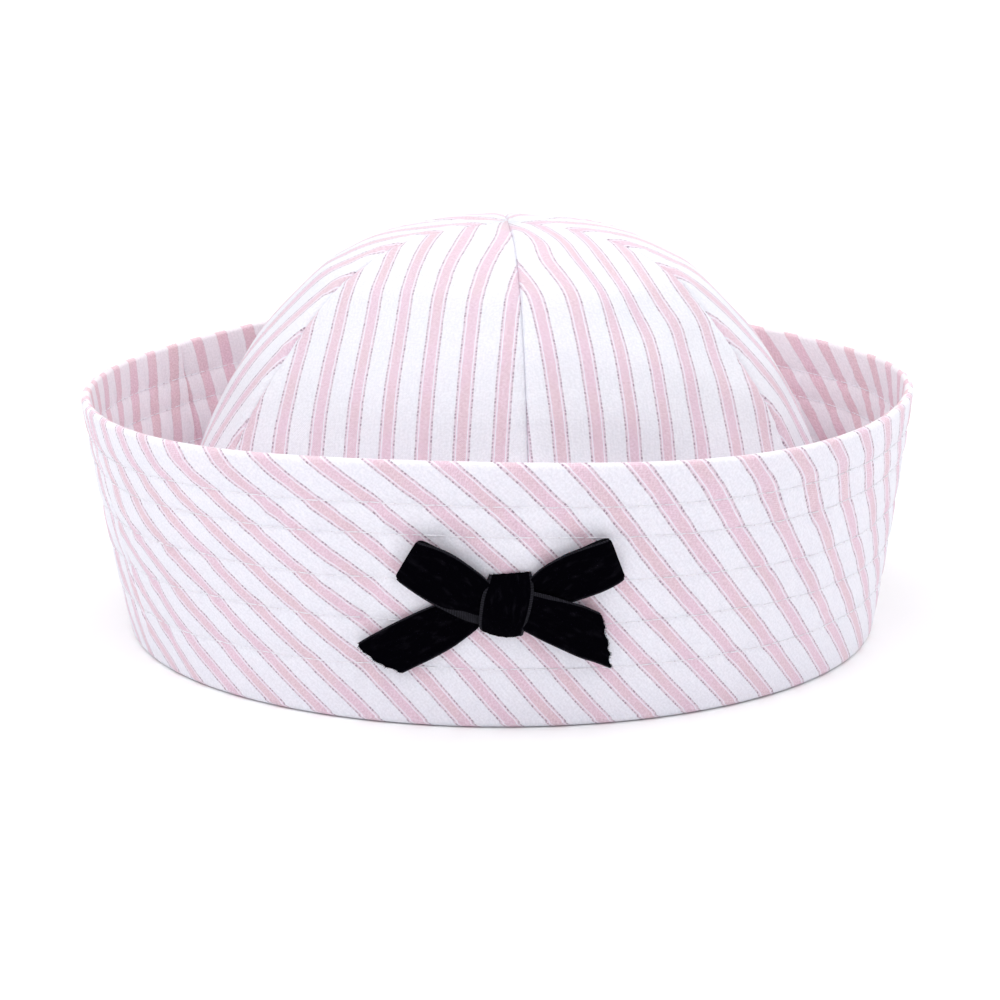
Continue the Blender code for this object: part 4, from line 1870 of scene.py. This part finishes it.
    def fray(self) -> bpy.types.Object:
        """Builds the loose threads of the cut ends and of the knot's brushed edges.

        Returns:
            The threads as one piece.
        """
        path = thread_path("frayed_edges", self.cuts, self.headings, closed=False)
        made = shown("bow_frayed_threads", self.fray_tree().grown("bow_frayed_threads", path))
        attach(made, "root")
        return made

    def build(self) -> list[bpy.types.Object]:
        """Builds the ribbons, the knot and the frayed threads."""
        made = [self.ribbon(name, ribbon) for name, ribbon in self.ribbons.items()]
        return [*made, self.knot(), self.fray()]


# --- Studio ------------------------------------------------------------------------


@dataclass
class Studio:
    """A pale floor, soft light and the camera.

    A lamp's row is its name, where it stands in degrees from the front towards +X, how
    high it stands in degrees, and its strength in watts per square metre.
    """

    wardrobe: Wardrobe
    lens: float = 126.0
    camera_place: tuple = (1.3, -891.1, 257.2)
    look_down: float = 14.22
    look_left: float = 0.034
    world: float = 0.26
    lamps: tuple = (
        ("front", 0.0, 50.0, 0.54), ("front_low", 0.0, 12.0, 0.32),
        ("left", -70.0, 36.0, 0.54), ("right", 70.0, 36.0, 0.38),
        ("left_high", -80.0, 62.0, 1.42), ("right_high", 80.0, 62.0, 0.52),
        ("right_back", 135.0, 40.0, 1.15),
    )
    softness: float = 60.0
    lamp_reach: float = 2.0
    floor_half: float = 3.0
    floor_drop: float = 0.0001

    def floor(self) -> bpy.types.Object:
        """Lays the floor, a hair's breadth under the cap.

        Returns:
            The floor.
        """
        mesh = bpy.data.meshes.new("floor")
        ways = [(-1, -1), (1, -1), (1, 1), (-1, 1)]
        corners = [(x * self.floor_half, y * self.floor_half, -self.floor_drop) for x, y in ways]
        mesh.from_pydata(corners, [], [(0, 1, 2, 3)])
        mesh.materials.append(self.wardrobe.floor)
        made = linked("floor", mesh)
        return made

    def lamp(self, name: str, azimuth: float, height: float, strength: float) -> bpy.types.Object:
        """Hangs a wide far light, as soft as a white wall, that looks at the cap.

        Args:
            name: Its name.
            azimuth: Where it stands, in degrees from the front towards +X.
            height: How high it stands, in degrees.
            strength: In watts per square metre.

        Returns:
            The light.
        """
        data = bpy.data.lights.new(name, "SUN")
        data.energy = strength
        data.angle = math.radians(self.softness)
        made = linked(name, data)
        a, e = math.radians(azimuth), math.radians(height)
        reach = self.lamp_reach
        level = reach * math.cos(e)
        made.location = (level * math.sin(a), -level * math.cos(a), reach * math.sin(e))
        made.rotation_mode = "QUATERNION"
        made.rotation_quaternion = (-made.location).to_track_quat("-Z", "Y")
        return made

    def build(self) -> None:
        """Lays the floor and sets up the sky, the lamps, the camera and the view."""
        scene = bpy.context.scene
        self.floor()
        world = bpy.data.worlds.new("soft_white")
        world.use_nodes = True
        sky = world.node_tree.nodes["Background"]
        sky.inputs[0].default_value = (1.0, 1.0, 1.0, 1.0)
        sky.inputs[1].default_value = self.world
        scene.world = world
        for name, azimuth, height, strength in self.lamps:
            self.lamp(f"{name}_light", azimuth, height, strength)
        data = bpy.data.cameras.new("camera")
        data.lens = self.lens
        data.sensor_width = 36.0
        data.clip_start, data.clip_end = 0.05, 50.0
        camera = linked("camera", data)
        camera.location = [c * MM for c in self.camera_place]
        camera.rotation_euler = (math.radians(90.0 - self.look_down), 0.0, math.radians(self.look_left))
        scene.camera = camera
        scene.view_settings.view_transform = "Standard"
        scene.view_settings.look = "None"


# --- Making it ---------------------------------------------------------------------


def main() -> None:
    """Builds the cap in order and reports each piece."""
    logging.basicConfig(level=logging.INFO, format="%(name)s: %(message)s")
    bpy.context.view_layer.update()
    wardrobe = Wardrobe()
    form = CapForm()
    Studio(wardrobe).build()
    brim = Brim(form, wardrobe)
    pieces = [brim.build()]
    tree = brim.stitch_tree()
    pieces += [brim.stitch(tree, face) for face in BrimFace]
    pieces += Crown(form, wardrobe).build()
    pieces += Bow(form, wardrobe).build()
    for piece in pieces:
        mesh = piece.data
        mesh.calc_loop_triangles()
        LOG.info("%s: %d triangles", piece.name, len(mesh.loop_triangles))


if __name__ == "__main__":
    main()
